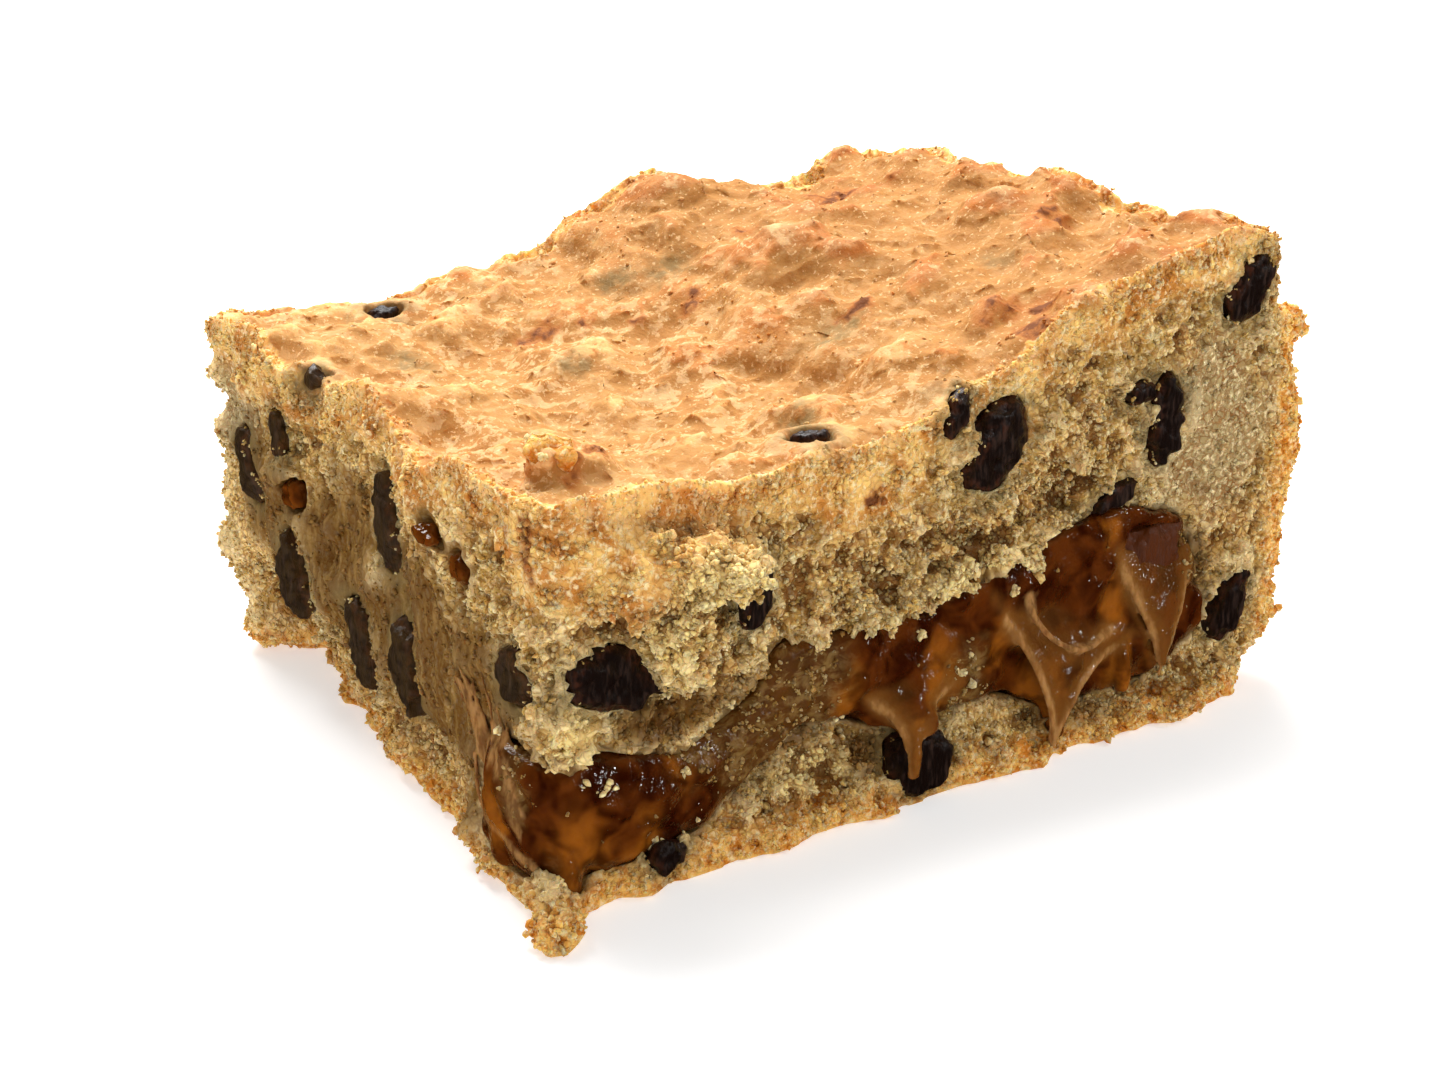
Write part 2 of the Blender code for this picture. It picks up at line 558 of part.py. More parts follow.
def main():
    for old in list(bpy.data.objects):
        bpy.data.objects.remove(old)
    bar = new_collection("caramel_chocolate_chip_bar")
    layer_cutters = new_collection("layer_cutters")
    inset_cutters = new_collection("inset_cutters")

    dough = make_dough(bar)
    caramel = make_caramel(bar)
    swollen_copy(caramel, layer_cutters)
    make_table_cutter(layer_cutters)

    skin = skin_of([dough, caramel])
    chips = [set_in(name, measures, skin, bar) for name, measures in CHIPS.items()]
    pockets = [set_in(name, measures, skin, bar) for name, measures in CARAMEL_POCKETS.items()]
    for inset in chips + pockets:
        swollen_copy(inset, inset_cutters)

    cut_by(dough, layer_cutters)
    cut_by(dough, inset_cutters)
    cut_by(caramel, inset_cutters)
    without_loose_crumbs(dough)
    without_loose_crumbs(caramel)

    dough_material = food_material("cookie_dough", (0.62, 0.42, 0.20), 0.85)
    caramel_material = food_material("caramel", (0.36, 0.13, 0.02), 0.2)
    chocolate_material = food_material("chocolate", (0.045, 0.02, 0.012), 0.5)
    dough.data.materials.append(dough_material)
    for piece in [caramel, *pockets]:
        piece.data.materials.append(caramel_material)
    for chip in chips:
        chip.data.materials.append(chocolate_material)

    bpy.context.view_layer.update()
    pieces = [dough, caramel, *chips, *pockets]
    centre_on_base(pieces, [*pieces, *layer_cutters.objects, *inset_cutters.objects])


main()
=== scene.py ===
import math

import bmesh
import bpy
import numpy as np
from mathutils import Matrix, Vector, noise
from mathutils.bvhtree import BVHTree


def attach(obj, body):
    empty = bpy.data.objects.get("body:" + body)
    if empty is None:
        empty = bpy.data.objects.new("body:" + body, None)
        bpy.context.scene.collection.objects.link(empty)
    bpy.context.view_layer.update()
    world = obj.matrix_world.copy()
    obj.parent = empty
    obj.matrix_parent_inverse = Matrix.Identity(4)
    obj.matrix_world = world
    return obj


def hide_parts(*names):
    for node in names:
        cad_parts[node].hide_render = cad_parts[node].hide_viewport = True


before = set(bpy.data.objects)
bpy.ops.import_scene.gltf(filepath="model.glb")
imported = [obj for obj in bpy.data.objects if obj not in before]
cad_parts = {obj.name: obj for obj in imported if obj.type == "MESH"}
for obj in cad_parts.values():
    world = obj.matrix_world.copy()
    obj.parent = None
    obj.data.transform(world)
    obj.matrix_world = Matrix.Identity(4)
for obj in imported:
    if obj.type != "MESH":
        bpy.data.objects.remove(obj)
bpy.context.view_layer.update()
bpy.ops.object.select_all(action="DESELECT")

# Cookie dough.
# A slab of butter dough baked soft over and under the caramel, then cut into a block. Its top is a
# thin wrinkled crust, its cuts are open crumb, and its base and right side browned against the pan.
MM = 0.001
BLOCK_CORNER = np.array((-42.125, -30.09, 0.0)) * MM  # the near corner, where the cut sides meet
LENGTH = 83 * MM
DEPTH = 65 * MM
DOUGH_VOXEL = 0.4 * MM
DOUGH_FACES = 196_000
MERGE = 0.001 * MM
FEWEST_POINTS = 60  # what is joined to nothing and has fewer is dropped


def only(piece):
    """Makes the piece the one that is selected and active."""
    bpy.ops.object.select_all(action="DESELECT")
    piece.select_set(True)
    bpy.context.view_layer.objects.active = piece


def copy_of(node, name):
    """A piece of its own with a solid's mesh, its loose triangles joined."""
    piece = bpy.data.objects.new(name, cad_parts[node].data.copy())
    bpy.context.scene.collection.objects.link(piece)
    only(piece)
    bpy.ops.object.mode_set(mode="EDIT")
    bpy.ops.mesh.select_all(action="SELECT")
    bpy.ops.mesh.remove_doubles(threshold=MERGE)
    bpy.ops.object.mode_set(mode="OBJECT")
    piece.data.materials.clear()
    return piece


def worked(piece, kind, **settings):
    """Puts a modifier on the piece and applies it."""
    only(piece)
    modifier = piece.modifiers.new(kind.title(), kind)
    for name, value in settings.items():
        setattr(modifier, name, value)
    bpy.ops.object.modifier_apply(modifier=modifier.name)


def fused(piece, voxel, smoothing):
    """Makes the piece one even skin of small faces, with its corners softened."""
    worked(piece, "REMESH", mode="VOXEL", voxel_size=voxel)
    worked(piece, "SMOOTH", factor=0.5, iterations=smoothing)


def drop_specks(piece):
    """Deletes what isn't joined to the rest of the piece and has only a few points."""
    mesh = piece.data
    ends = np.empty(len(mesh.edges) * 2, np.int32)
    mesh.edges.foreach_get("vertices", ends)
    first, second = ends.reshape(-1, 2).T
    patch = np.arange(len(mesh.vertices))
    while True:
        lower = np.minimum(patch[first], patch[second])
        spread = patch.copy()
        np.minimum.at(spread, first, lower)
        np.minimum.at(spread, second, lower)
        spread = spread[spread]
        if (spread == patch).all():
            break
        patch = spread
    shape = bmesh.new()
    shape.from_mesh(mesh)
    shape.verts.ensure_lookup_table()
    few = np.bincount(patch, minlength=len(patch))[patch] < FEWEST_POINTS
    specks = [shape.verts[index] for index in np.flatnonzero(few)]
    bmesh.ops.delete(shape, geom=specks, context="VERTS")
    shape.to_mesh(mesh)
    shape.free()


def thinned(piece, most_faces):
    """Brings the piece down to this many triangles, where it is flattest first."""
    worked(piece, "TRIANGULATE")
    count = len(piece.data.polygons)
    if count > most_faces:
        worked(piece, "DECIMATE", ratio=most_faces / count)
    drop_specks(piece)
    piece.data.polygons.foreach_set("use_smooth", np.ones(len(piece.data.polygons), bool))


def points_of(piece, what="co"):
    """The places, or the normals, of a piece's points, one row each."""
    rows = np.empty(len(piece.data.vertices) * 3, np.float32)
    piece.data.vertices.foreach_get(what, rows)
    return rows.reshape(-1, 3).astype(float)


def skin_of(pieces):
    """What finds the nearest point on these meshes."""
    corners, faces = [], []
    for piece in pieces:
        start = len(corners)
        corners.extend(vertex.co.copy() for vertex in piece.data.vertices)
        faces.extend([start + corner for corner in face.vertices] for face in piece.data.polygons)
    return BVHTree.FromPolygons(corners, faces)


def ease(values, start, end):
    """Goes smoothly from 0 at start to 1 at end."""
    share = np.clip((np.asarray(values) - start) / (end - start), 0, 1)
    return share * share * (3 - 2 * share)


def wander(points, size, seed=0.0):
    """A number from about -1 to 1 for each point, which changes over this size."""
    moved = points / size + seed
    return np.array([noise.noise(place) for place in moved.tolist()])


def distances(points, skin, reach):
    """How far each point is from a skin, up to reach."""
    found = [skin.find_nearest(place, reach)[3] for place in points.tolist()]
    return np.array([reach if distance is None else distance for distance in found])


def weighted(piece, name, weights):
    """A vertex group that holds these weights."""
    group = piece.vertex_groups.new(name=name)
    for index, weight in enumerate(weights.tolist()):
        if weight > 0.01:
            group.add((index,), weight, "REPLACE")


def relief(piece, name, kind, size, height, group="", middle=0.5, **settings):
    """Raises and lowers the piece by a pattern of this size, as far as height."""
    texture = bpy.data.textures.new(name, kind)
    texture.noise_scale = size
    for setting, value in settings.items():
        setattr(texture, setting, value)
    worked(
        piece, "DISPLACE", texture=texture, strength=height, mid_level=middle, vertex_group=group
    )
    bpy.data.textures.remove(texture)


OUTLINE_VOXEL = 1.2 * MM
OUTLINE_SMOOTHING = 25
dough = copy_of("cookie_dough", "baked_dough")
outline = copy_of("cookie_dough", "dough_outline")
fused(outline, OUTLINE_VOXEL, OUTLINE_SMOOTHING)
outline_skin = skin_of([outline])
caramel_nodes = [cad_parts[name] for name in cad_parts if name.startswith("caramel")]
chip_nodes = [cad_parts[name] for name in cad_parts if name.startswith("chip")]
caramel_skin = skin_of(caramel_nodes)
chip_skin = skin_of(chip_nodes)
inlay_skin = skin_of(caramel_nodes + chip_nodes)

# Height of the top on a grid over the block, in from the cuts by the width of the rounded edge
EDGE = 3.5 * MM
STEP = 1.0 * MM
ABOVE = 60 * MM
grid_x = np.arange(EDGE, LENGTH - EDGE, STEP)
grid_y = np.arange(EDGE, DEPTH - EDGE, STEP)
top_grid = np.array(
    [
        [
            outline_skin.ray_cast((x + BLOCK_CORNER[0], y + BLOCK_CORNER[1], ABOVE), (0, 0, -1))[0].z
            for y in grid_y
        ]
        for x in grid_x
    ]
)

# Places where caramel has soaked into a cut or lies on it as a thin smear: the side, how far along
# and up it, and half its width and height, in mm
SOAKED = (
    ("left", 10.0, 12.5, 11.0, 11.0),
    ("left", 24.0, 16.0, 13.0, 12.0),
    ("left", 40.0, 17.0, 12.0, 12.0),
    ("left", 53.0, 19.0, 9.0, 10.0),
    ("front", 12.0, 14.8, 8.0, 2.6),
    ("front", 22.5, 11.0, 6.0, 6.5),
    ("front", 33.0, 5.5, 5.0, 2.6),
    ("front", 69.0, 13.5, 5.0, 7.5),
    ("front", 56.0, 4.0, 7.0, 3.0),
    ("back", 30.0, 14.0, 16.0, 5.0),
    ("back", 60.0, 13.0, 12.0, 5.0),
)
# Places where sugar has caramelised in the crust: its place on the block and its radius, in mm
TOFFEE = (
    (66.6, 51.2, 42.3, 3.6), (63.0, 50.0, 43.0, 2.4), (50.0, 45.9, 42.7, 1.6), (52.6, 8.3, 42.4, 2.6),
    (55.5, 6.0, 43.0, 2.0), (70.5, 22.2, 45.6, 2.4), (52.3, 3.3, 42.2, 2.0), (9.0, 6.0, 37.4, 1.8),
    (27.9, 47.6, 34.2, 1.4), (31.0, 45.0, 35.0, 1.0), (34.5, 42.0, 36.2, 1.0), (39.2, 38.7, 37.6, 1.6),
    (46.9, 21.5, 39.8, 1.5), (25.7, 46.8, 33.8, 1.5), (32.7, 0.3, 29.8, 0.9), (72.5, 50.0, 44.6, 1.5),
    (0.0, 2.3, 33.0, 1.2), (0.1, 2.1, 29.6, 1.0), (3.0, 8.2, 35.5, 1.2), (5.6, 4.2, 37.0, 1.6),
)
# Places where the crust is stained grey by a chip just under it, given the same way
STAINS = (
    (41.4, 45.8, 39.3, 2.6), (42.7, 20.5, 37.8, 2.2), (44.8, 20.2, 38.5, 1.6), (28.5, 3.6, 35.5, 3.4),
    (13.0, 47.5, 34.2, 2.6), (36.9, 48.1, 37.4, 2.2), (31.5, 9.6, 34.5, 2.2), (43.6, 0.2, 34.6, 3.0),
    (16.0, 59.6, 34.5, 3.4), (62.0, 20.0, 44.0, 2.0), (24.0, 36.0, 33.0, 2.0), (52.0, 40.0, 42.0, 1.8),
)
# Places where the bar was broken rather than cut, given as the soaked ones are
RAGGED_CRUMB = (
    ("front", 13.0, 26.0, 11.0, 11.0),
    ("front", 40.0, 20.0, 16.0, 5.5),
    ("front", 56.0, 24.0, 9.0, 6.0),
    ("front", 30.0, 5.0, 12.0, 4.5),
    ("front", 62.0, 3.0, 18.0, 3.5),
    ("left", 3.0, 15.0, 3.5, 5.0),
    ("left", 58.0, 6.0, 10.0, 7.0),
    ("back", 45.0, 20.0, 20.0, 7.0),
)
# Places where the crust folds down over a cut and makes it golden, given the same way
GOLDEN_CUT = (
    ("front", 4.5, 31.0, 7.0, 6.5),
    ("left", 2.5, 31.0, 4.5, 6.5),
    ("left", 55.0, 34.0, 12.0, 5.0),
    ("front", 32.0, 31.0, 9.0, 4.0),
)
# Places where the broken crumb is palest, given the same way
PALE_CRUMB = (
    ("front", 12.5, 27.5, 6.0, 4.5),
    ("front", 10.0, 22.5, 3.5, 4.0),
    ("front", 17.0, 28.5, 3.5, 4.0),
    ("front", 26.0, 5.5, 6.0, 2.5),
    ("front", 2.0, 15.0, 3.0, 4.0),
    ("front", 44.0, 20.5, 8.0, 2.5),
)
# Places where the knife has left the crumb smooth, given the same way
SMOOTH_CRUMB = (
    ("front", 72.5, 29.0, 9.5, 11.0),
    ("left", 59.0, 29.0, 6.0, 9.0),
    ("back", 20.0, 30.0, 12.0, 8.0),
)


def near_spots(block, spots):
    """1 at the middle of the nearest of these round spots, fading to 0 outside them."""
    share = np.zeros(len(block))
    for x, y, z, radius in spots:
        away = np.linalg.norm((block - (x, y, z)) * (1, 1, 0.6), axis=1) / radius
        share = np.maximum(share, 1 - ease(away, 0.35, 1.4))
    return share


def dough_facts(points):
    """For each point of the dough, how far it belongs to each kind of surface, from 0 to 1."""
    block = (points - BLOCK_CORNER) / MM
    x, y, z = block.T
    nearest = [outline_skin.find_nearest(place) for place in points.tolist()]
    facing = np.array([tuple(found[1]) for found in nearest])
    column = np.clip(((x * MM - EDGE) / STEP).round().astype(int), 0, len(grid_x) - 1)
    row = np.clip(((y * MM - EDGE) / STEP).round().astype(int), 0, len(grid_y) - 1)
    depth = (top_grid[column, row] - points[:, 2]) / MM
    patchy = wander(points, 4 * MM)
    fine = wander(points, 1.1 * MM, 7.0)

    # The crust is what faces up, near the top. Its rim is where it turns down, a few mm deep.
    top = ease(facing[:, 2], 0.3, 0.62) * (1 - ease(depth, 2.5, 5.0)) * ease(z, 24, 28)
    side = 1 - top
    edge = side * (1 - ease(depth + 1.3 * patchy + 0.5 * fine, 2.2, 7.0))
    turning = top * (1 - ease(facing[:, 2] + 0.06 * patchy, 0.7, 0.9))
    rim = np.maximum(turning, side * (1 - ease(depth + 0.6 * patchy, 1.2, 3.6))) * ease(z, 26, 30)
    # The pan browned the foot, the right side, and a strip of the cuts beside it.
    base = 1 - ease(z + 1.2 * patchy + 0.6 * fine, 1.4, 4.2)
    browned = ease(facing[:, 0], 0.35, 0.7) * ease(x, 74, 79)
    browned = np.maximum(browned, ease(x + 1.2 * patchy, 79.5, 82))
    pan = side * np.maximum(base, browned)

    faced = {"front": (-facing[:, 1], x), "left": (-facing[:, 0], y), "back": (facing[:, 1], x)}

    def in_zones(zones):
        """1 in the middle of these zones of the cut sides, fading to 0 outside them."""
        share = np.zeros(len(points))
        for face, along, height, half_width, half_height in zones:
            turned, place = faced[face]
            away = np.hypot((place - along) / half_width, (z - height) / half_height)
            share = np.maximum(share, ease(turned, 0.3, 0.6) * (1 - ease(away + 0.35 * patchy, 0.5, 1.1)))
        return share

    soaked = in_zones(SOAKED)
    close = distances(points, caramel_skin, 4 * MM) / MM
    soaked = np.maximum(soaked, 1 - ease(close + 0.5 * patchy + 0.3 * fine, 0.2, 1.3)) * side
    soaked *= 1 - 0.6 * pan

    unevenly = block + 1.6 * np.stack((fine, patchy, fine), 1)
    stained = 1 - ease(distances(points, chip_skin, 4 * MM) / MM + 0.5 * patchy, 0.3, 2.6)
    stained = np.maximum(stained, top * near_spots(unevenly, STAINS))
    toffee = near_spots(unevenly, TOFFEE)
    edge = np.maximum(edge, in_zones(GOLDEN_CUT))
    bake = top * ease(x + 0.25 * y + 8 * wander(points, 16 * MM), 28, 68)
    return {
        "top": top, "bake": bake, "edge": edge, "pan": pan, "soaked": soaked, "stained": stained,
        "toffee": toffee, "pale": in_zones(PALE_CRUMB), "smooth": in_zones(SMOOTH_CRUMB),
        "ragged": in_zones(RAGGED_CRUMB), "rim": rim,
    }


COVER = 1.3 * MM  # how near caramel or a chip lies over dough that keeps no relief
FOOT = 0.45 * MM
fused(dough, DOUGH_VOXEL, 8)
smooth_points = points_of(dough)
smooth_normals = points_of(dough, "normal")
facts = dough_facts(smooth_points)
covered = np.array(
    [
        inlay_skin.ray_cast(place, normal, COVER)[0] is not None
        for place, normal in zip(smooth_points.tolist(), smooth_normals.tolist())
    ]
)
covered |= smooth_points[:, 2] < FOOT
smooth_block = (smooth_points - BLOCK_CORNER) / MM
on_left = 1 - ease(smooth_block[:, 0], 1.0, 3.0)
far_corner = 1 - 0.85 * ease(smooth_block[:, 1], 50, 60)
cut_side = (1 - facts["top"]) * ~covered
open_cut = cut_side * (1 - (0.35 + 0.5 * on_left) * facts["soaked"]) * (1 - 0.6 * facts["smooth"])
open_cut *= (1 - 0.6 * facts["edge"]) * (1 - 0.5 * facts["pan"]) * far_corner
weighted(dough, "cut", open_cut)
weighted(dough, "crumb", open_cut * (1 - 0.6 * facts["edge"]) * (0.35 + 0.65 * facts["ragged"]))
weighted(dough, "smear", cut_side * facts["soaked"])
weighted(dough, "rim", facts["rim"] * ~covered)
from_chips = distances(smooth_points, chip_skin, 4 * MM) / MM
level = ease(smooth_normals[:, 2], 0.6, 0.95)
weighted(dough, "crust", facts["top"] * level * ease(from_chips, 0.6, 3.0))

relief(dough, "crags", "CLOUDS", 4.5 * MM, 2.6 * MM, "crumb", noise_depth=2)
relief(dough, "holes", "CLOUDS", 2.0 * MM, 2.2 * MM, "crumb", middle=0.85, contrast=3.5, noise_depth=1)
relief(dough, "cobbles", "VORONOI", 1.5 * MM, -0.5 * MM, "cut", middle=0.45)
relief(dough, "pores", "CLOUDS", 0.9 * MM, 0.7 * MM, "cut", middle=0.7, contrast=2.5, noise_depth=1)
relief(dough, "flow", "CLOUDS", 3.2 * MM, 0.7 * MM, "smear", noise_depth=1)
relief(dough, "swells", "CLOUDS", 6.5 * MM, 3.2 * MM, "crust", noise_depth=1)
relief(dough, "wrinkles", "CLOUDS", 2.2 * MM, 0.8 * MM, "crust", noise_type="HARD_NOISE", noise_depth=3)
relief(
    dough, "creases", "VORONOI", 8.0 * MM, 0.9 * MM, "crust", middle=1.0,
    weight_1=-1.0, weight_2=1.0, contrast=3.0, intensity=1.7,
)
relief(dough, "sugar", "CLOUDS", 0.9 * MM, 0.22 * MM, "crust", noise_depth=1)
relief(dough, "bead", "CLOUDS", 2.4 * MM, 0.9 * MM, "rim", noise_depth=1)
relief(dough, "sand", "VORONOI", 0.9 * MM, -0.35 * MM, "rim", middle=0.45)
for vertex in dough.data.vertices:
    vertex.co.z = max(vertex.co.z, 0.0)
thinned(dough, DOUGH_FACES)
dough.vertex_groups.clear()


def told(piece, name, values):
    """Keeps a number for each point of the piece, which its material reads."""
    kept = piece.data.attributes
    numbers = kept[name] if name in kept else kept.new(name, "FLOAT", "POINT")
    numbers.data.foreach_set("value", np.asarray(values, np.float32))


dough_points = points_of(dough)
facts = dough_facts(dough_points)
for name, values in facts.items():
    told(dough, name, values)
# How far each point stands out of the smoothed outline, kept only to paint light: the dough's material
# gives hollows painted shade and ridges a painted highlight; on the rim it is held near a middle value
hollow = np.array(
    [
        (Vector(place) - found[0]).dot(found[1])
        for place, found in (
            (place, outline_skin.find_nearest(place)) for place in dough_points.tolist()
        )
    ]
)
crag = ease(hollow / MM, -1.6, 0.9)
told(dough, "crag", crag + (0.6 - crag) * facts["rim"])
told(dough, "tone", np.zeros(len(dough_points)))


def colour(red, green, blue):
    """A colour as a screen shows it, from 0 to 255, in the renderer's own numbers."""
    shares = [value / 255 for value in (red, green, blue)]
    return (*[v / 12.92 if v < 0.04045 else ((v + 0.055) / 1.055) ** 2.4 for v in shares], 1.0)


def shader(material, kind, inputs=None, **settings):
    """A node of the material, each input set to a value or fed by another node's output."""
    made = material.node_tree.nodes.new("ShaderNode" + kind)
    for name, value in settings.items():
        setattr(made, name, value)
    for name, value in (inputs or {}).items():
        if isinstance(value, bpy.types.NodeSocket):
            material.node_tree.links.new(value, made.inputs[name])
        else:
            made.inputs[name].default_value = value
    return made


def place_on(material, stretch=(1, 1, 1)):
    """The place on the piece, in mm, with each axis stretched so many times."""
    place = shader(material, "TexCoord").outputs["Object"]
    scale = tuple(1 / (MM * times) for times in stretch)
    return shader(material, "Mapping", {"Vector": place, "Scale": scale}).outputs["Vector"]


def mottle(material, size, detail=2.0, stretch=(1, 1, 1), distortion=0.0):
    """Uneven patches of this size in mm, from 0 to 1."""
    inputs = {
        "Vector": place_on(material, stretch), "Scale": 1 / size, "Detail": detail, "Roughness": 0.6,
        "Distortion": distortion,
    }
    return shader(material, "TexNoise", inputs).outputs["Fac"]


def cells(material, size):
    """The distance from the middle of each of many grains of this size in mm."""
    inputs = {"Vector": place_on(material), "Scale": 1 / size}
    return shader(material, "TexVoronoi", inputs).outputs["Distance"]


def between(material, size):
    """0 in the gaps between crumbs of about this size in mm, and 1 inside them."""
    place = place_on(material)
    drift = shader(material, "TexNoise", {"Vector": place, "Scale": 0.7 / size, "Detail": 2.0})
    shift = {0: drift.outputs["Color"], 1: (1.3 * size,) * 3, 2: place}
    moved = shader(material, "VectorMath", shift, operation="MULTIPLY_ADD")
    inputs = {"Vector": moved.outputs["Vector"], "Scale": 1 / size}
    gaps = shader(material, "TexVoronoi", inputs, feature="DISTANCE_TO_EDGE").outputs["Distance"]
    return graded(material, gaps, 0.01, 0.2)


def told_by(material, name):
    """A number that the piece keeps for each of its points."""
    return shader(material, "Attribute", attribute_name=name).outputs["Fac"]


def graded(material, value, start, end, low=0.0, high=1.0):
    """The value's smooth step from low at start to high at end."""
    inputs = {"Value": value, "From Min": start, "From Max": end, "To Min": low, "To Max": high}
    return shader(material, "MapRange", inputs, interpolation_type="SMOOTHSTEP").outputs["Result"]


def times(material, first, second):
    """One number times another."""
    made = shader(material, "Math", {0: first, 1: second}, operation="MULTIPLY")
    return made.outputs["Value"]


def over(material, share, below, above, how="MIX"):
    """One colour laid over another, as far as share says."""
    made = shader(material, "Mix", {0: share, 6: below, 7: above}, data_type="RGBA", blend_type=how)
    return made.outputs[2]


def new_material(name):
    """A material with nothing in it yet."""
    material = bpy.data.materials.new(name)
    material.use_nodes = True
    material.node_tree.nodes.clear()
    return material


def finished(material, inputs):
    """Ends a material in one surface shader with these inputs."""
    surface = shader(material, "BsdfPrincipled", inputs)
    end = shader(material, "OutputMaterial")
    material.node_tree.links.new(surface.outputs["BSDF"], end.inputs["Surface"])


CRUMB_PALE = colour(240, 196, 118)
CRUMB_OLIVE = colour(200, 158, 82)
CRUMB_GREY = colour(174, 148, 98)
CRUMB_CREAM = colour(254, 230, 176)
# Painted shade for the gaps between crumbs
CRUMB_GAP_SHADE = colour(152, 84, 6)
# Painted shade for the hollows of the crumb
CRUMB_VALLEY_SHADE = colour(122, 64, 3)
LUMP_GOLD = colour(255, 220, 142)
EDGE_GOLD = colour(250, 198, 112)
EDGE_BROWN = colour(204, 126, 44)
CRUST_GOLD = colour(238, 184, 116)
CRUST_ORANGE = colour(216, 144, 78)
CRUST_BAKED = colour(176, 104, 48)
CRUST_PALE = colour(250, 212, 156)
CRUST_BROWN = colour(188, 112, 44)
# Painted shade for the hollows of the crust
CRUST_HOLLOW_SHADE = colour(180, 126, 64)
TOFFEE_RED = colour(106, 56, 26)
TOFFEE_ORANGE = colour(180, 104, 42)
PAN_GOLD = colour(250, 192, 100)
PAN_BROWN = colour(218, 134, 40)
SOAKED_BROWN = colour(92, 54, 10)
SOAKED_MILKY = colour(140, 106, 54)
STAIN_GREY = colour(128, 108, 66)


def dough_material():
    """Crumb, crust, pan crust, soaked crumb and stains, each where the piece's numbers say, with painted
    shade in gaps and hollows and painted highlights on ridges.
    """
    material = new_material("baked_dough")
    crag = told_by(material, "crag")
    coarse = mottle(material, 3.2, 3.0)
    fine = mottle(material, 0.55, 3.0)
    medium = mottle(material, 1.4, 2.0)

    crumb = over(material, graded(material, coarse, 0.38, 0.62), CRUMB_PALE, CRUMB_OLIVE)
    crumb = over(material, told_by(material, "smooth"), crumb, CRUMB_GREY)
    crumb = over(material, graded(material, fine, 0.48, 0.68, 0, 0.85), crumb, CRUMB_CREAM)
    crumb = over(material, told_by(material, "pale"), crumb, LUMP_GOLD)
    # Painted shade in the gaps between crumbs, from the same pattern that bumps them
    crumbs = between(material, 0.75)
    gap_shade = times(
        material, graded(material, crumbs, 1.0, 0.0, 0, 0.7), graded(material, coarse, 0.3, 0.6, 1.0, 0.4)
    )
    crumb = over(material, gap_shade, crumb, CRUMB_GAP_SHADE)
    # Painted shade in the crumb's hollows and a painted highlight on what stands out of it
    crumb = over(material, graded(material, crag, 0.6, 0.15, 0, 0.7), crumb, CRUMB_VALLEY_SHADE)
    crumb = over(material, graded(material, crag, 0.7, 0.95, 0, 0.4), crumb, CRUMB_CREAM)
    gold = over(material, graded(material, coarse, 0.4, 0.62), EDGE_GOLD, EDGE_BROWN)
    gold = over(material, graded(material, fine, 0.48, 0.66, 0, 0.8), gold, CRUMB_CREAM)
    crumb = over(material, times(material, told_by(material, "edge"), 0.85), crumb, gold)

    hills = mottle(material, 8.0, 4.0)
    blotches = mottle(material, 2.2, 4.0)
    flakes = mottle(material, 1.5, 5.0, distortion=0.25)
    peeling = times(
        material, graded(material, flakes, 0.5, 0.56, 0, 0.45), graded(material, hills, 0.4, 0.6, 0.3, 1.0)
    )
    crust = over(material, graded(material, hills, 0.42, 0.58), CRUST_GOLD, CRUST_ORANGE)
    crust = over(material, times(material, told_by(material, "bake"), 0.85), crust, CRUST_BAKED)
    crust = over(material, graded(material, blotches, 0.5, 0.62, 0, 0.75), crust, CRUST_BROWN)
    crust = over(material, graded(material, blotches, 0.44, 0.34, 0, 0.45), crust, CRUST_PALE)
    # Painted shade in the crust's hollows and a painted highlight on its ridges
    crust = over(material, graded(material, crag, 0.66, 0.3, 0, 0.85), crust, CRUST_HOLLOW_SHADE)
    crust = over(material, graded(material, crag, 0.74, 1.0, 0, 0.25), crust, CRUST_PALE)
    specks = graded(material, mottle(material, 0.5, 2.0), 0.6, 0.68, 0, 0.6)
    crust = over(material, specks, crust, CRUST_PALE)
    fresh = graded(material, told_by(material, "bake"), 0.1, 1.0, 1.0, 0.3)
    crust = over(material, times(material, peeling, fresh), crust, CRUST_PALE)
    rim = graded(material, mottle(material, 0.8, 3.0), 0.3, 0.7, 0.4, 1.3)
    rim = graded(material, times(material, told_by(material, "rim"), rim), 0.2, 0.8, 0, 0.9)
    crust = over(material, rim, crust, gold)

    pan = over(material, graded(material, medium, 0.4, 0.62), PAN_GOLD, PAN_BROWN)
    pan = over(material, graded(material, fine, 0.48, 0.66, 0, 0.7), pan, CRUMB_CREAM)

    skin = over(material, told_by(material, "pan"), crumb, pan)
    skin = over(material, told_by(material, "top"), skin, crust)
    uneven = graded(material, mottle(material, 1.5, 4.0), 0.3, 0.7, 0.4, 1.5)
    toffee = times(material, told_by(material, "toffee"), uneven)
    skin = over(material, graded(material, toffee, 0.02, 0.7, 0, 0.75), skin, TOFFEE_ORANGE)
    skin = over(material, graded(material, toffee, 0.45, 1.2, 0, 0.85), skin, TOFFEE_RED)
    milky = graded(material, mottle(material, 1.0, 4.0, (1, 1, 3.5)), 0.46, 0.66, 0, 0.85)
    wet = over(material, milky, SOAKED_BROWN, SOAKED_MILKY)
    soaked = told_by(material, "soaked")
    skin = over(material, times(material, soaked, 0.88), skin, wet)
    stain = times(material, told_by(material, "stained"), graded(material, medium, 0.3, 0.6, 0.2, 0.75))
    skin = over(material, stain, skin, STAIN_GREY)
    tone = graded(material, told_by(material, "tone"), -1.0, 1.0, 0.84, 1.12)
    grey = shader(material, "CombineColor", {0: tone, 1: tone, 2: tone}).outputs[0]
    skin = over(material, 1.0, skin, grey, "MULTIPLY")

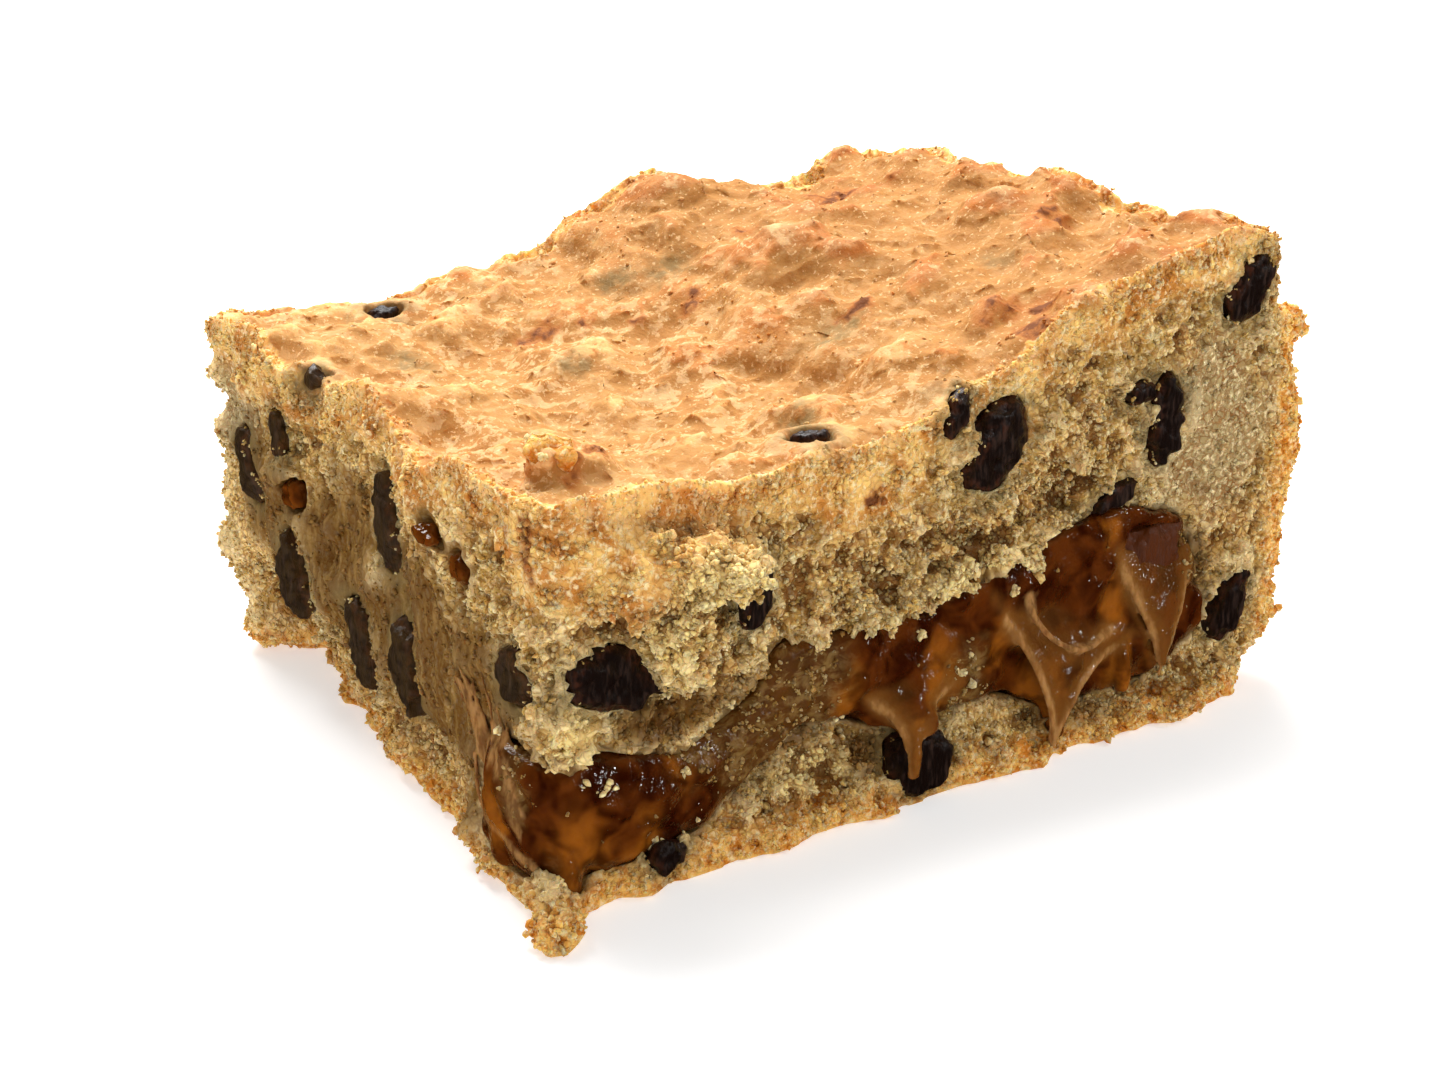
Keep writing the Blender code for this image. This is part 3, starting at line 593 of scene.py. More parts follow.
    rough = graded(material, soaked, 0.1, 0.8, 0.78, 0.22)
    dry = graded(material, soaked, 0.0, 0.9, 0.6, 0.12)
    height = over(material, told_by(material, "top"), crumbs, flakes)
    grain = shader(material, "Bump", {"Height": height, "Strength": dry, "Distance": 0.4 * MM})
    pitting = {
        "Height": mottle(material, 0.28, 2.0), "Strength": 0.6, "Distance": 0.12 * MM,
        "Normal": grain.outputs[0],
    }
    pores = shader(material, "Bump", pitting)
    finished(
        material,
        {
            "Base Color": skin, "Roughness": rough, "Normal": pores.outputs[0], "Specular IOR Level": 0.2,
            "Subsurface Weight": 0.35, "Subsurface Radius": (1.0, 0.6, 0.3), "Subsurface Scale": 1.0 * MM,
        },
    )
    return material


dough_finish = dough_material()
dough.data.materials.append(dough_finish)
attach(dough, "root")
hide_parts("cookie_dough")

# Crumbs.
# The knife tears baked dough rather than slicing it, so its cuts are set with broken grains, half
# sunk in the crumb, and loose ones lie on the crust and the caramel.
def pebble():
    """The corners and faces of a small rounded lump."""
    bpy.ops.mesh.primitive_ico_sphere_add(subdivisions=1, radius=1.0)
    ball = bpy.context.object
    corners = points_of(ball)
    faces = np.array([tuple(face.vertices) for face in ball.data.polygons])
    bpy.data.objects.remove(ball)
    return corners, faces


PEBBLE_CORNERS, PEBBLE_FACES = pebble()
corner_rows = np.array([tuple(triangle.vertices) for triangle in dough.data.polygons])
corner_places = dough_points[corner_rows]
face_cross = np.cross(corner_places[:, 1] - corner_places[:, 0], corner_places[:, 2] - corner_places[:, 0])
face_areas = np.linalg.norm(face_cross, axis=1) / 2
face_normals = face_cross / np.maximum(2 * face_areas[:, None], 1e-18)
face_middles = corner_places.mean(axis=1)
face_covered = distances(face_middles, inlay_skin, 1.0 * MM) < 0.75 * MM


def turned_at_random(draws, count):
    """So many rotation matrices, each turned another way."""
    quaternions = draws.normal(size=(count, 4))
    w, x, y, z = (quaternions / np.linalg.norm(quaternions, axis=1, keepdims=True)).T
    return np.stack(
        [
            1 - 2 * (y * y + z * z), 2 * (x * y - w * z), 2 * (x * z + w * y),
            2 * (x * y + w * z), 1 - 2 * (x * x + z * z), 2 * (y * z - w * x),
            2 * (x * z - w * y), 2 * (y * z + w * x), 1 - 2 * (x * x + y * y),
        ],
        axis=1,
    ).reshape(-1, 3, 3)


def grains(name, places, radii, numbers, seed, lumps=1):
    """One piece of many uneven crumbs, each of so many pebbles side by side."""
    draws = np.random.default_rng(seed)
    count = len(places) * lumps
    centres = np.repeat(places, lumps, axis=0)
    sizes = np.repeat(radii, lumps)
    if lumps > 1:
        centres = centres + np.clip(draws.normal(size=(count, 3)), -1, 1) * sizes[:, None] * 0.6
        sizes = sizes * draws.uniform(0.5, 0.85, count)
    squash = draws.uniform(0.45, 1.35, (count, 1, 3))
    shaped = PEBBLE_CORNERS[None] * draws.uniform(0.6, 1.35, (count, len(PEBBLE_CORNERS), 1)) * squash
    shaped = np.einsum("nij,nkj->nki", turned_at_random(draws, count), shaped)
    corners = (centres[:, None] + shaped * sizes[:, None, None]).reshape(-1, 3)
    corners[:, 2] = np.maximum(corners[:, 2], 0.02 * MM)
    faces = (PEBBLE_FACES[None] + np.arange(count)[:, None, None] * len(PEBBLE_CORNERS)).reshape(-1, 3)
    mesh = bpy.data.meshes.new(name)
    mesh.vertices.add(len(corners))
    mesh.vertices.foreach_set("co", corners.ravel())
    mesh.loops.add(faces.size)
    mesh.loops.foreach_set("vertex_index", faces.ravel().astype(np.int32))
    mesh.polygons.add(len(faces))
    mesh.polygons.foreach_set("loop_start", np.arange(0, faces.size, 3, dtype=np.int32))
    mesh.update(calc_edges=True)
    piece = bpy.data.objects.new(name, mesh)
    bpy.context.scene.collection.objects.link(piece)
    for key, values in numbers.items():
        told(piece, key, np.repeat(values, lumps * len(PEBBLE_CORNERS)))
    piece.data.materials.append(dough_finish)
    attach(piece, "root")
    return piece


def strewn(name, count, seed, chances, smallest, largest, sink, lumps=1):
    """Grains of dough over the block, more of them where chances says, sunk so far into it."""
    draws = np.random.default_rng(seed)
    weights = face_areas * chances
    chosen = draws.choice(len(face_areas), count, p=weights / weights.sum())
    shares = draws.dirichlet((1, 1, 1), count)
    places = np.einsum("nk,nkj->nj", shares, corner_places[chosen])
    radii = smallest + (largest - smallest) * draws.power(0.55, count)
    places = places + face_normals[chosen] * (radii * (1 - sink))[:, None]
    numbers = {key: values[corner_rows[chosen, 0]] for key, values in facts.items()}
    # Grains are painted as standing out: almost no painted shade, and a painted highlight on many
    numbers["crag"] = draws.uniform(0.55, 1.0, count)
    numbers["tone"] = draws.uniform(-1, 1, count)
    return grains(name, places, radii, numbers, seed + 1, lumps)


face_facts = {key: values[corner_rows[:, 0]] for key, values in facts.items()}
face_block = (face_middles - BLOCK_CORNER) / MM
cut_faces = (1 - face_facts["top"]) * ~face_covered * (face_block[:, 2] > 0.6)
dry_faces = cut_faces * (1 - 0.93 * face_facts["soaked"]) * (1 - 0.6 * face_facts["smooth"])
dry_faces = dry_faces * (1 - 0.93 * face_facts["edge"])
in_front = (np.minimum(face_block[:, 0], face_block[:, 1]) < 7).astype(float)
clumpy = ease(wander(face_middles, 3.0 * MM, 3.0), -0.25, 0.3)
clumpy = clumpy * (0.25 + 0.75 * face_facts["ragged"])
strewn("cut_crumbs", 9900, 11, dry_faces * in_front * (0.35 + clumpy), 0.1 * MM, 0.36 * MM, 0.72)
strewn("fine_cut_crumbs", 9400, 12, dry_faces * in_front * (0.35 + clumpy), 0.08 * MM, 0.26 * MM, 0.6)
far_faces = dry_faces * (1 - in_front) * (1 - 0.9 * face_facts["rim"])
strewn("far_cut_crumbs", 6500, 13, far_faces, 0.14 * MM, 0.42 * MM, 0.75)
strewn("crumb_clumps", 1800, 17, dry_faces * clumpy, 0.25 * MM, 0.65 * MM, 0.85, lumps=3)
strewn("pan_crumbs", 5000, 19, cut_faces * face_facts["pan"], 0.14 * MM, 0.42 * MM, 0.7)
soaked_faces = cut_faces * face_facts["soaked"] * (1 - 0.85 * (face_block[:, 0] < 2))
strewn("soaked_crumbs", 2400, 21, soaked_faces, 0.12 * MM, 0.4 * MM, 0.78)
golden_faces = cut_faces * face_facts["edge"] * clumpy
strewn("golden_clumps", 700, 25, golden_faces, 0.3 * MM, 0.7 * MM, 0.88, lumps=3)
rim_faces = face_facts["rim"] * (0.15 + 0.85 * in_front) + 0.008 * face_facts["top"]
strewn("crust_crumbs", 4000, 23, rim_faces * ~face_covered, 0.09 * MM, 0.26 * MM, 0.78)

# Caramel.
# Soft caramel was poured between the two layers of dough, and runs right through the block. Where the
# bar was parted from the next one it stretched into webs and drips, which sagged back on the cut.
CARAMEL_VOXEL = 0.34 * MM
PULLED_VOXEL = 0.24 * MM
CARAMEL_FACES = 196_000
dough_node_skin = skin_of([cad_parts["cookie_dough"]])

# Places where the caramel is thin enough to let light through: its place and its radius, in mm
AMBER = (
    (2.5, -0.5, 4.5, 3.6), (8.5, 0.0, 5.0, 2.6), (-0.8, 6.5, 7.0, 2.6), (40.5, 0.4, 10.8, 3.0),
    (36.0, -1.5, 6.0, 2.0), (47.2, 0.3, 13.0, 2.0), (51.8, -0.8, 6.5, 3.0), (60.8, 0.3, 12.5, 2.4),
    (62.0, 0.4, 5.0, 2.0), (60.2, 0.4, 20.5, 1.3), (66.0, 0.3, 7.5, 1.6), (12.0, 0.3, 9.5, 2.0),
    (30.0, 0.3, 12.0, 2.0),
)
# Places where crumb lies soaked in the caramel and hides it, given the same way
CRUMBY = (
    (22.5, 0.5, 12.0, 5.5), (19.0, 0.3, 9.5, 3.2), (27.0, 0.5, 14.0, 3.0), (43.4, 0.4, 10.2, 2.4),
    (-0.6, 3.4, 12.0, 2.2), (70.5, 0.4, 16.0, 2.0), (14.5, 0.4, 12.6, 2.6),
)
# Edges of the pulled films and the threads along them: places on the block, in mm
WEB_LEFT = (
    (46.4, 0.8, 17.0), (48.0, 0.0, 14.4), (49.8, -0.9, 11.4), (51.2, -1.6, 8.2), (52.0, -2.1, 5.4),
    (52.3, -2.2, 3.2), (52.3, -2.0, 1.4),
)
WEB_RIGHT = (
    (63.4, 0.7, 9.6), (60.4, -0.1, 8.6), (57.4, -1.0, 7.4), (54.9, -1.8, 5.8), (53.2, -2.3, 3.8),
    (52.6, -2.2, 2.4), (52.4, -2.0, 1.4),
)
WEB_ARCH = (
    (50.4, 0.9, 19.0), (50.2, -0.1, 16.2), (50.9, -0.9, 13.8), (53.0, -1.5, 11.6), (55.6, -1.6, 10.4),
    (58.4, -1.1, 10.2), (61.4, 0.6, 10.8),
)
VEIL_LEFT = (
    (61.6, 0.9, 18.4), (62.4, -0.2, 15.4), (63.6, -0.9, 12.4), (65.2, -1.3, 9.4), (66.2, -1.1, 6.4),
)
VEIL_RIGHT = (
    (70.4, 0.9, 16.4), (70.2, 0.0, 13.4), (69.2, -0.6, 10.8), (67.8, -1.0, 8.2), (66.6, -1.1, 6.0),
)
DRIP_LEFT = (
    (32.6, 0.9, 10.8), (34.2, -0.4, 9.4), (35.2, -1.4, 7.4), (35.5, -2.0, 5.4), (35.7, -2.2, 3.6),
)
DRIP_RIGHT = (
    (42.6, 0.9, 10.0), (39.4, -0.3, 9.2), (37.5, -1.3, 7.8), (36.7, -2.0, 5.6), (36.0, -2.2, 3.6),
)
DRIP_MIDDLE = ((36.6, -1.2, 8.0), (36.0, -2.0, 6.4), (35.8, -2.3, 4.8), (35.8, -2.2, 3.2))
AMBER_DROP = ((62.4, 0.4, 9.2), (62.1, -0.4, 7.4), (62.0, -0.7, 5.6), (62.2, -0.5, 4.4))
CORNER_DROP = ((-0.6, 4.0, 7.4), (-0.9, 4.9, 6.2), (-0.9, 5.8, 5.4))
CORNER_RIM = (
    (-0.8, 11.2, 10.4), (-1.0, 11.4, 8.0), (-1.0, 10.6, 6.2), (-1.1, 8.2, 5.5), (-1.1, 5.2, 5.6),
    (-1.1, 2.6, 5.0), (-0.8, 0.4, 4.0), (-0.4, -0.7, 2.4),
)


def at(x, y, z):
    """A place on the block, in mm from its near corner, in the frame of the whole."""
    return Vector(BLOCK_CORNER) + Vector((x, y, z)) * MM


def strand(route, thickness, ends=0.6):
    """A thread of caramel along these places on the block, thinner towards its ends."""
    curve = bpy.data.curves.new("strand", "CURVE")
    curve.dimensions = "3D"
    curve.bevel_depth = thickness * MM / 2
    curve.bevel_resolution = 2
    curve.resolution_u = 6
    curve.use_fill_caps = True
    spline = curve.splines.new("NURBS")
    spline.points.add(len(route) - 1)
    spline.use_endpoint_u = True
    spline.order_u = 3
    for index, place in enumerate(route):
        spline.points[index].co = (*at(*place), 1.0)
        along_it = index / (len(route) - 1)
        spline.points[index].radius = ends + (1 - ends) * math.sin(math.pi * along_it)
    thread = bpy.data.objects.new("strand", curve)
    bpy.context.scene.collection.objects.link(thread)
    only(thread)
    bpy.ops.object.convert(target="MESH")
    return bpy.context.object


def along(route, share):
    """The place this share of the way along a route."""
    whole = share * (len(route) - 1)
    first = min(int(whole), len(route) - 2)
    return at(*route[first]).lerp(at(*route[first + 1]), whole - first)


def film(left, right, thickness, belly):
    """A sheet of caramel between two routes, which stands out by belly in its middle."""
    bpy.ops.mesh.primitive_grid_add(x_subdivisions=18, y_subdivisions=24, size=1.0)
    sheet = bpy.context.object
    outward = Vector((0, -1, 0))
    for vertex in sheet.data.vertices:
        side, drop = vertex.co.x + 0.5, vertex.co.y + 0.5
        place = along(left, drop).lerp(along(right, drop), side)
        bulge = belly * math.sin(math.pi * side) + 0.3 * noise.noise(place / (2.2 * MM))
        vertex.co = place + outward * bulge * MM
    worked(sheet, "SOLIDIFY", thickness=thickness * MM, offset=0.0)
    return sheet


def joined(parts):
    """Makes one piece of these, the first of which gives its name."""
    bpy.ops.object.select_all(action="DESELECT")
    for part in parts:
        part.select_set(True)
    bpy.context.view_layer.objects.active = parts[0]
    bpy.ops.object.join()
    return bpy.context.object


cut_skin = skin_of([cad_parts["cookie_dough"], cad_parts["caramel"]])


def laid(route, lift):
    """The route brought down on to the surface of the dough or the caramel, and lifted by lift."""
    moved = []
    for place in route:
        found, normal = cut_skin.find_nearest(at(*place))[:2]
        moved.append(tuple((np.array(found + normal * lift * MM) - BLOCK_CORNER) / MM))
    return moved


films = [
    film(WEB_LEFT, WEB_RIGHT, 0.6, -0.3),
    film(VEIL_LEFT, VEIL_RIGHT, 0.6, 0.5),
    film(DRIP_LEFT, DRIP_RIGHT, 0.7, 0.3),
]
threads = [
    strand(WEB_LEFT, 0.6, 0.8), strand(WEB_RIGHT, 0.6, 0.8), strand(WEB_ARCH, 0.7, 0.9),
    strand(VEIL_LEFT, 0.55, 0.8), strand((*VEIL_RIGHT, (66.5, -1.0, 4.8)), 0.55, 0.8),
    strand(DRIP_LEFT, 0.6, 0.8), strand(DRIP_RIGHT, 0.6, 0.8), strand(laid(CORNER_RIM, 0.15), 0.55, 0.8),
]
STREAKS = 26
draws = np.random.default_rng(31)
for _ in range(STREAKS):
    start = draws.uniform(2.0, 12.5)
    low = 7.0 + 0.25 * start + draws.uniform(-1.5, 1.5)
    lean = draws.uniform(0.3, 0.7)
    wave = draws.uniform(-0.7, 0.7)
    rises = np.linspace(0, draws.uniform(4.0, 10.5), 7)
    route = [(-0.4, start + lean * rise + wave * math.sin(rise / 2.1), low + rise) for rise in rises]
    threads.append(strand(laid(route, 0.05), draws.uniform(0.3, 0.55), 0.4))
drops = [
    strand(DRIP_MIDDLE, 1.5, 0.75), strand(AMBER_DROP, 2.0, 0.7), strand(CORNER_DROP, 1.6, 0.6),
]
film_skin = skin_of(films)
thread_skin = skin_of(threads)
drop_skin = skin_of(drops)

layer = copy_of("caramel", "caramel_layer")
worked(layer, "DISPLACE", strength=0.3 * MM, mid_level=0.0)
fused(layer, CARAMEL_VOXEL, 10)
layer_points = points_of(layer)
uneven = wander(layer_points, 2.5 * MM)[:, None]
crumby = near_spots((layer_points - BLOCK_CORNER) / MM + 1.5 * uneven, CRUMBY)
weighted(layer, "crumby", crumby)
weighted(layer, "clear", 1 - crumby)
relief(layer, "lobes", "CLOUDS", 4.5 * MM, 1.5 * MM, "clear", noise_depth=1)
relief(layer, "folds", "CLOUDS", 1.8 * MM, 0.7 * MM, "clear", noise_depth=0)
relief(layer, "soaked_crags", "CLOUDS", 2.6 * MM, 1.4 * MM, "crumby", noise_depth=2)
relief(layer, "soaked_grains", "VORONOI", 1.3 * MM, -0.25 * MM, "crumby", middle=0.45)
layer.vertex_groups.clear()
layer = joined([layer, *films, *threads, *drops])
fused(layer, PULLED_VOXEL, 4)
thinned(layer, CARAMEL_FACES)

CARAMEL_DEEP = colour(46, 12, 1)
CARAMEL_BROWN = colour(92, 42, 8)
CARAMEL_AMBER = colour(152, 86, 20)
CARAMEL_PULLED = colour(120, 74, 28)
CARAMEL_MILKY = colour(186, 138, 82)


def caramel_material():
    """Dark amber, brighter where it is thin, milky where it was pulled, and wet on its surface."""
    material = new_material("soft_caramel")
    flow = mottle(material, 3.0, 2.0, distortion=0.5)
    body = over(material, graded(material, flow, 0.34, 0.7), CARAMEL_DEEP, CARAMEL_BROWN)
    thin = times(material, told_by(material, "thin"), graded(material, flow, 0.25, 0.75, 0.3, 1.0))
    body = over(material, graded(material, thin, 0.05, 1.0, 0, 0.95), body, CARAMEL_AMBER)
    body = over(material, told_by(material, "pulled"), body, CARAMEL_PULLED)
    streaks = graded(material, mottle(material, 1.0, 3.0, (1, 1, 2.5)), 0.36, 0.6, 0.35, 1.0)
    body = over(material, times(material, told_by(material, "milky"), streaks), body, CARAMEL_MILKY)
    crumby = told_by(material, "crumby")
    smears = graded(material, mottle(material, 1.1, 4.0, (1.6, 1, 1), 0.6), 0.44, 0.66)
    bits = over(material, smears, SOAKED_BROWN, SOAKED_MILKY)
    body = over(material, times(material, crumby, 0.85), body, bits)
    rough_bits = {"Height": cells(material, 0.8), "Strength": crumby, "Distance": 0.1 * MM}
    grain = shader(material, "Bump", rough_bits, invert=True)
    waves = {
        "Height": mottle(material, 0.9, 2.0), "Strength": 0.8, "Distance": 0.3 * MM,
        "Normal": grain.outputs[0],
    }
    ripples = shader(material, "Bump", waves)
    finished(
        material,
        {
            "Base Color": body, "Roughness": graded(material, crumby, 0, 1, 0.1, 0.26),
            "Normal": ripples.outputs[0], "Specular IOR Level": 0.45, "Subsurface Weight": 0.3,
            "Subsurface Radius": (1.0, 0.35, 0.08), "Subsurface Scale": 1.2 * MM,
        },
    )
    return material


caramel_finish = caramel_material()


def made_of_caramel(piece, node, thin=0.0):
    """Gives a piece caramel's finish: thin where light comes through, milky where it was pulled."""
    points = points_of(piece)
    block = (points - BLOCK_CORNER) / MM
    uneven = wander(points, 2.5 * MM)[:, None]
    border = 1 - ease(distances(points, dough_node_skin, 4 * MM) / MM, 0.2, 1.8)
    from_film = distances(points, film_skin, 2 * MM) / MM
    from_thread = distances(points, thread_skin, 2 * MM) / MM
    from_drop = distances(points, drop_skin, 2 * MM) / MM
    on_film = 1 - ease(from_film + 0.4 * uneven[:, 0], 0.3, 1.3)
    on_thread = 1 - ease(from_thread, 0.02, 0.4)
    near_thread = 1 - ease(from_thread, 0.3, 1.9)
    on_drop = 1 - ease(from_drop, 0.2, 0.8)
    amber = np.maximum(0.9 * near_spots(block + uneven, AMBER), 0.25 * border)
    told(piece, "thin", np.maximum(np.maximum(amber, on_drop), thin))
    told(piece, "crumby", near_spots(block + 1.5 * uneven, CRUMBY) * (1 - on_film) * (1 - on_thread))
    told(piece, "pulled", on_film * (0.3 + 0.55 * near_thread))
    told(piece, "milky", 0.75 * on_thread)
    piece.data.materials.append(caramel_finish)
    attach(piece, "root")
    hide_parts(node)


made_of_caramel(layer, "caramel")

# Small pockets that the left cut opened, each sunk a little in its hole
for node in caramel_nodes:
    if node.name == "caramel":
        continue
    pocket = copy_of(node.name, node.name.replace("caramel_pocket", "opened_pocket"))
    worked(pocket, "DISPLACE", strength=-0.3 * MM, mid_level=0.0)
    fused(pocket, 0.2 * MM, 6)
    relief(pocket, "dimples", "CLOUDS", 1.2 * MM, 0.8 * MM, noise_depth=1)
    thinned(pocket, 8000)
    made_of_caramel(pocket, node.name, thin=0.4)

# Broken crust and stuck crumbs.
# A shard of crust that browned hard lies broken off by the near corner. Crumbs of dough fell on the
# caramel as the bar was cut, and stuck to it.
SHARD_SIZE = (3.6, 1.3, 2.6)


def no_facts(count):
    """The numbers of so many points that are plain crumb."""
    return {key: np.zeros(count) for key in facts}


bpy.ops.mesh.primitive_cube_add(size=1.0, location=at(4.8, 6.3, 37.5), rotation=(-1.0, 0.15, -0.6))
shard = bpy.context.object
shard.scale = Vector(SHARD_SIZE) * MM
bpy.ops.object.transform_apply(location=True, rotation=True, scale=True)
shard.name = "crust_shard"
fused(shard, 0.2 * MM, 6)
relief(shard, "bent", "CLOUDS", 2.2 * MM, 2.0 * MM, noise_depth=1)
relief(shard, "chips_off", "CLOUDS", 0.7 * MM, 0.3 * MM, noise_depth=1)
thinned(shard, 12_000)
shard_points = points_of(shard)
for name, values in no_facts(len(shard_points)).items():
    told(shard, name, values)
# The shard's painted relief light is held at a value that paints neither shade nor highlight
for name, value in {"pan": 1.0, "toffee": 0.25, "crag": 0.7}.items():
    told(shard, name, np.full(len(shard_points), value))
shard.data.materials.append(dough_finish)
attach(shard, "root")

# Crumbs of dough stuck to the caramel: their places, in mm
STUCK_BITS = (
    (18.4, 0.4, 13.4), (12.8, -0.8, 9.8), (-0.4, 6.8, 14.2), (-0.8, 5.7, 25.6), (11.5, 0.0, 15.8),
    (38.3, 0.2, 15.7), (45.7, -1.4, 21.5), (4.0, -0.8, 10.5), (5.2, -0.8, 10.9), (3.2, -1.0, 11.5),
    (43.5, 0.0, 12.5), (42.8, -0.2, 10.8), (44.2, -0.1, 9.4), (24.6, 0.0, 7.2), (29.5, 0.2, 9.0),
    (9.9, -0.8, 3.9), (14.2, -0.4, 5.4), (48.5, 0.0, 17.8), (20.9, -1.6, 20.2), (19.8, -1.6, 19.8),
    (3.6, 8.0, 38.2), (3.4, 5.2, 37.5),
)
stuck_to = skin_of([dough, layer, shard])
bit_places = np.array([tuple(stuck_to.find_nearest(at(*place))[0]) for place in STUCK_BITS])
bit_count = len(STUCK_BITS)
bit_numbers = no_facts(bit_count)
# The stuck bits get a painted highlight, as ridges do
bit_numbers["crag"] = np.full(bit_count, 0.95)
bit_numbers["tone"] = np.full(bit_count, 0.8)
bit_sizes = draws.uniform(0.3, 0.6, bit_count) * MM
grains("stuck_bits", bit_places, bit_sizes, bit_numbers, 37, lumps=5)

# Finer crumbs, thick where crumb lies soaked in the caramel and sparse elsewhere
layer_rows = np.array([tuple(triangle.vertices) for triangle in layer.data.polygons])
layer_corners = points_of(layer)[layer_rows]
layer_middles = layer_corners.mean(axis=1)
layer_cross = np.cross(
    layer_corners[:, 1] - layer_corners[:, 0], layer_corners[:, 2] - layer_corners[:, 0]
)
layer_block = (layer_middles - BLOCK_CORNER) / MM
in_open = np.minimum(layer_block[:, 0], layer_block[:, 1]) < 1.2
crumby_here = near_spots(layer_block, CRUMBY)
chances = np.linalg.norm(layer_cross, axis=1) * in_open * (0.004 + crumby_here)
CAUGHT = 300
chosen = draws.choice(len(layer_rows), CAUGHT, p=chances / chances.sum())
caught_numbers = no_facts(CAUGHT)
caught_numbers["soaked"] = draws.uniform(0.5, 1.0, CAUGHT)
# Caught crumbs are painted as standing out: little painted shade, a painted highlight on some
caught_numbers["crag"] = draws.uniform(0.5, 1.0, CAUGHT)
caught_numbers["tone"] = draws.uniform(-1, 1, CAUGHT)
caught_sizes = draws.uniform(0.1, 0.34, CAUGHT) * MM
grains("caught_crumbs", layer_middles[chosen], caught_sizes, caught_numbers, 41, lumps=3)

# Chocolate chips.
# Dark baking chips, cut through by the knife with the bar or left whole in the crust. Their cut
# faces are dull and streaked, and their rims have melted into the crumb and turned reddish.
CHIP_VOXEL = 0.25 * MM
CHIP_DARK = colour(24, 11, 6)
CHIP_CUT = colour(60, 35, 20)
CHIP_RIM = colour(80, 38, 16)


def chocolate_material():
    """Near black chocolate with lighter streaks from the knife and a reddish melted rim."""
    material = new_material("dark_chocolate")
    streaks = mottle(material, 0.4, 3.0, (1.0, 1.0, 6.0))
    body = over(material, graded(material, streaks, 0.48, 0.72, 0, 0.85), CHIP_DARK, CHIP_CUT)
    patches = graded(material, mottle(material, 0.8), 0.4, 0.65, 0, 0.6)
    melted_rim = times(material, told_by(material, "rim"), patches)
    body = over(material, melted_rim, body, CHIP_RIM)
    smears = graded(material, mottle(material, 1.2), 0.35, 0.65, 0.6, 1.2)
    glaze = times(material, told_by(material, "glazed"), smears)
    body = over(material, glaze, body, SOAKED_MILKY)
    body = over(material, told_by(material, "coated"), body, CARAMEL_BROWN)
    scrape = shader(material, "Bump", {"Height": streaks, "Strength": 0.8, "Distance": 0.25 * MM})
    finished(
        material,
        {
            "Base Color": body, "Roughness": graded(material, streaks, 0.4, 0.7, 0.28, 0.6),
            "Normal": scrape.outputs[0], "Specular IOR Level": 0.3,
        },
    )
    return material


def cut_flat(chip, node):
    """Brings what stands out of a cut side back to where the knife went through the chip."""
    corners = points_of(node)
    middle = (corners.mean(axis=0) - BLOCK_CORNER) / MM
    for axis in (0, 1):
        if middle[axis] < 3:
            cut = corners[:, axis].min() - 0.1 * MM
            for vertex in chip.data.vertices:
                vertex.co[axis] = max(vertex.co[axis], cut)


chocolate_finish = chocolate_material()
rim_places = []
SUNKEN = ("chip_top_hole", "chip_top_back", "chip_left_rim")
SWELL = 0.2 * MM
SINK = -0.35 * MM
GLAZE = 0.15
CARAMEL_COAT = 0.8
for node in chip_nodes:
    chip = copy_of(node.name, node.name.replace("chip", "chocolate"))
    worked(chip, "DISPLACE", strength=SINK if node.name in SUNKEN else SWELL, mid_level=0.0)
    fused(chip, CHIP_VOXEL, 2)
    relief(chip, "outline", "CLOUDS", 1.8 * MM, 1.2 * MM, noise_depth=1)
    relief(chip, "broken", "VORONOI", 1.1 * MM, -0.25 * MM, middle=0.4)
    relief(chip, "rough", "CLOUDS", 0.5 * MM, 0.2 * MM, noise_depth=1)
    cut_flat(chip, node)
    thinned(chip, 6000)
    from_dough = distances(points_of(chip), dough_node_skin, 2 * MM) / MM
    told(chip, "rim", 1 - ease(from_dough, 0.2, 1.0))
    plain = np.zeros(len(from_dough))
    told(chip, "glazed", plain + GLAZE * ("_left_" in node.name))
    told(chip, "coated", plain + CARAMEL_COAT * (node.name == "chip_in_caramel"))
    rim_places.append(points_of(chip)[from_dough + draws.uniform(0, 0.3, len(from_dough)) < 0.45])
    chip.data.materials.append(chocolate_finish)
    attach(chip, "root")
    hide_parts(node.name)

# Crumbs of the dough that still hold to the rims of the chips
RIM_CRUMBS = 1500
rim_places = draws.permutation(np.concatenate(rim_places))[:RIM_CRUMBS]
rim_numbers = no_facts(len(rim_places))
rim_numbers["stained"] = draws.uniform(0, 0.8, len(rim_places))
# Rim crumbs are painted as standing out: little painted shade, a painted highlight on some
rim_numbers["crag"] = draws.uniform(0.5, 1.0, len(rim_places))
rim_numbers["tone"] = draws.uniform(-1, 1, len(rim_places))
rim_sizes = draws.uniform(0.12, 0.3, len(rim_places)) * MM
grains("rim_crumbs", rim_places, rim_sizes, rim_numbers, 43, lumps=2)
bpy.data.objects.remove(outline)

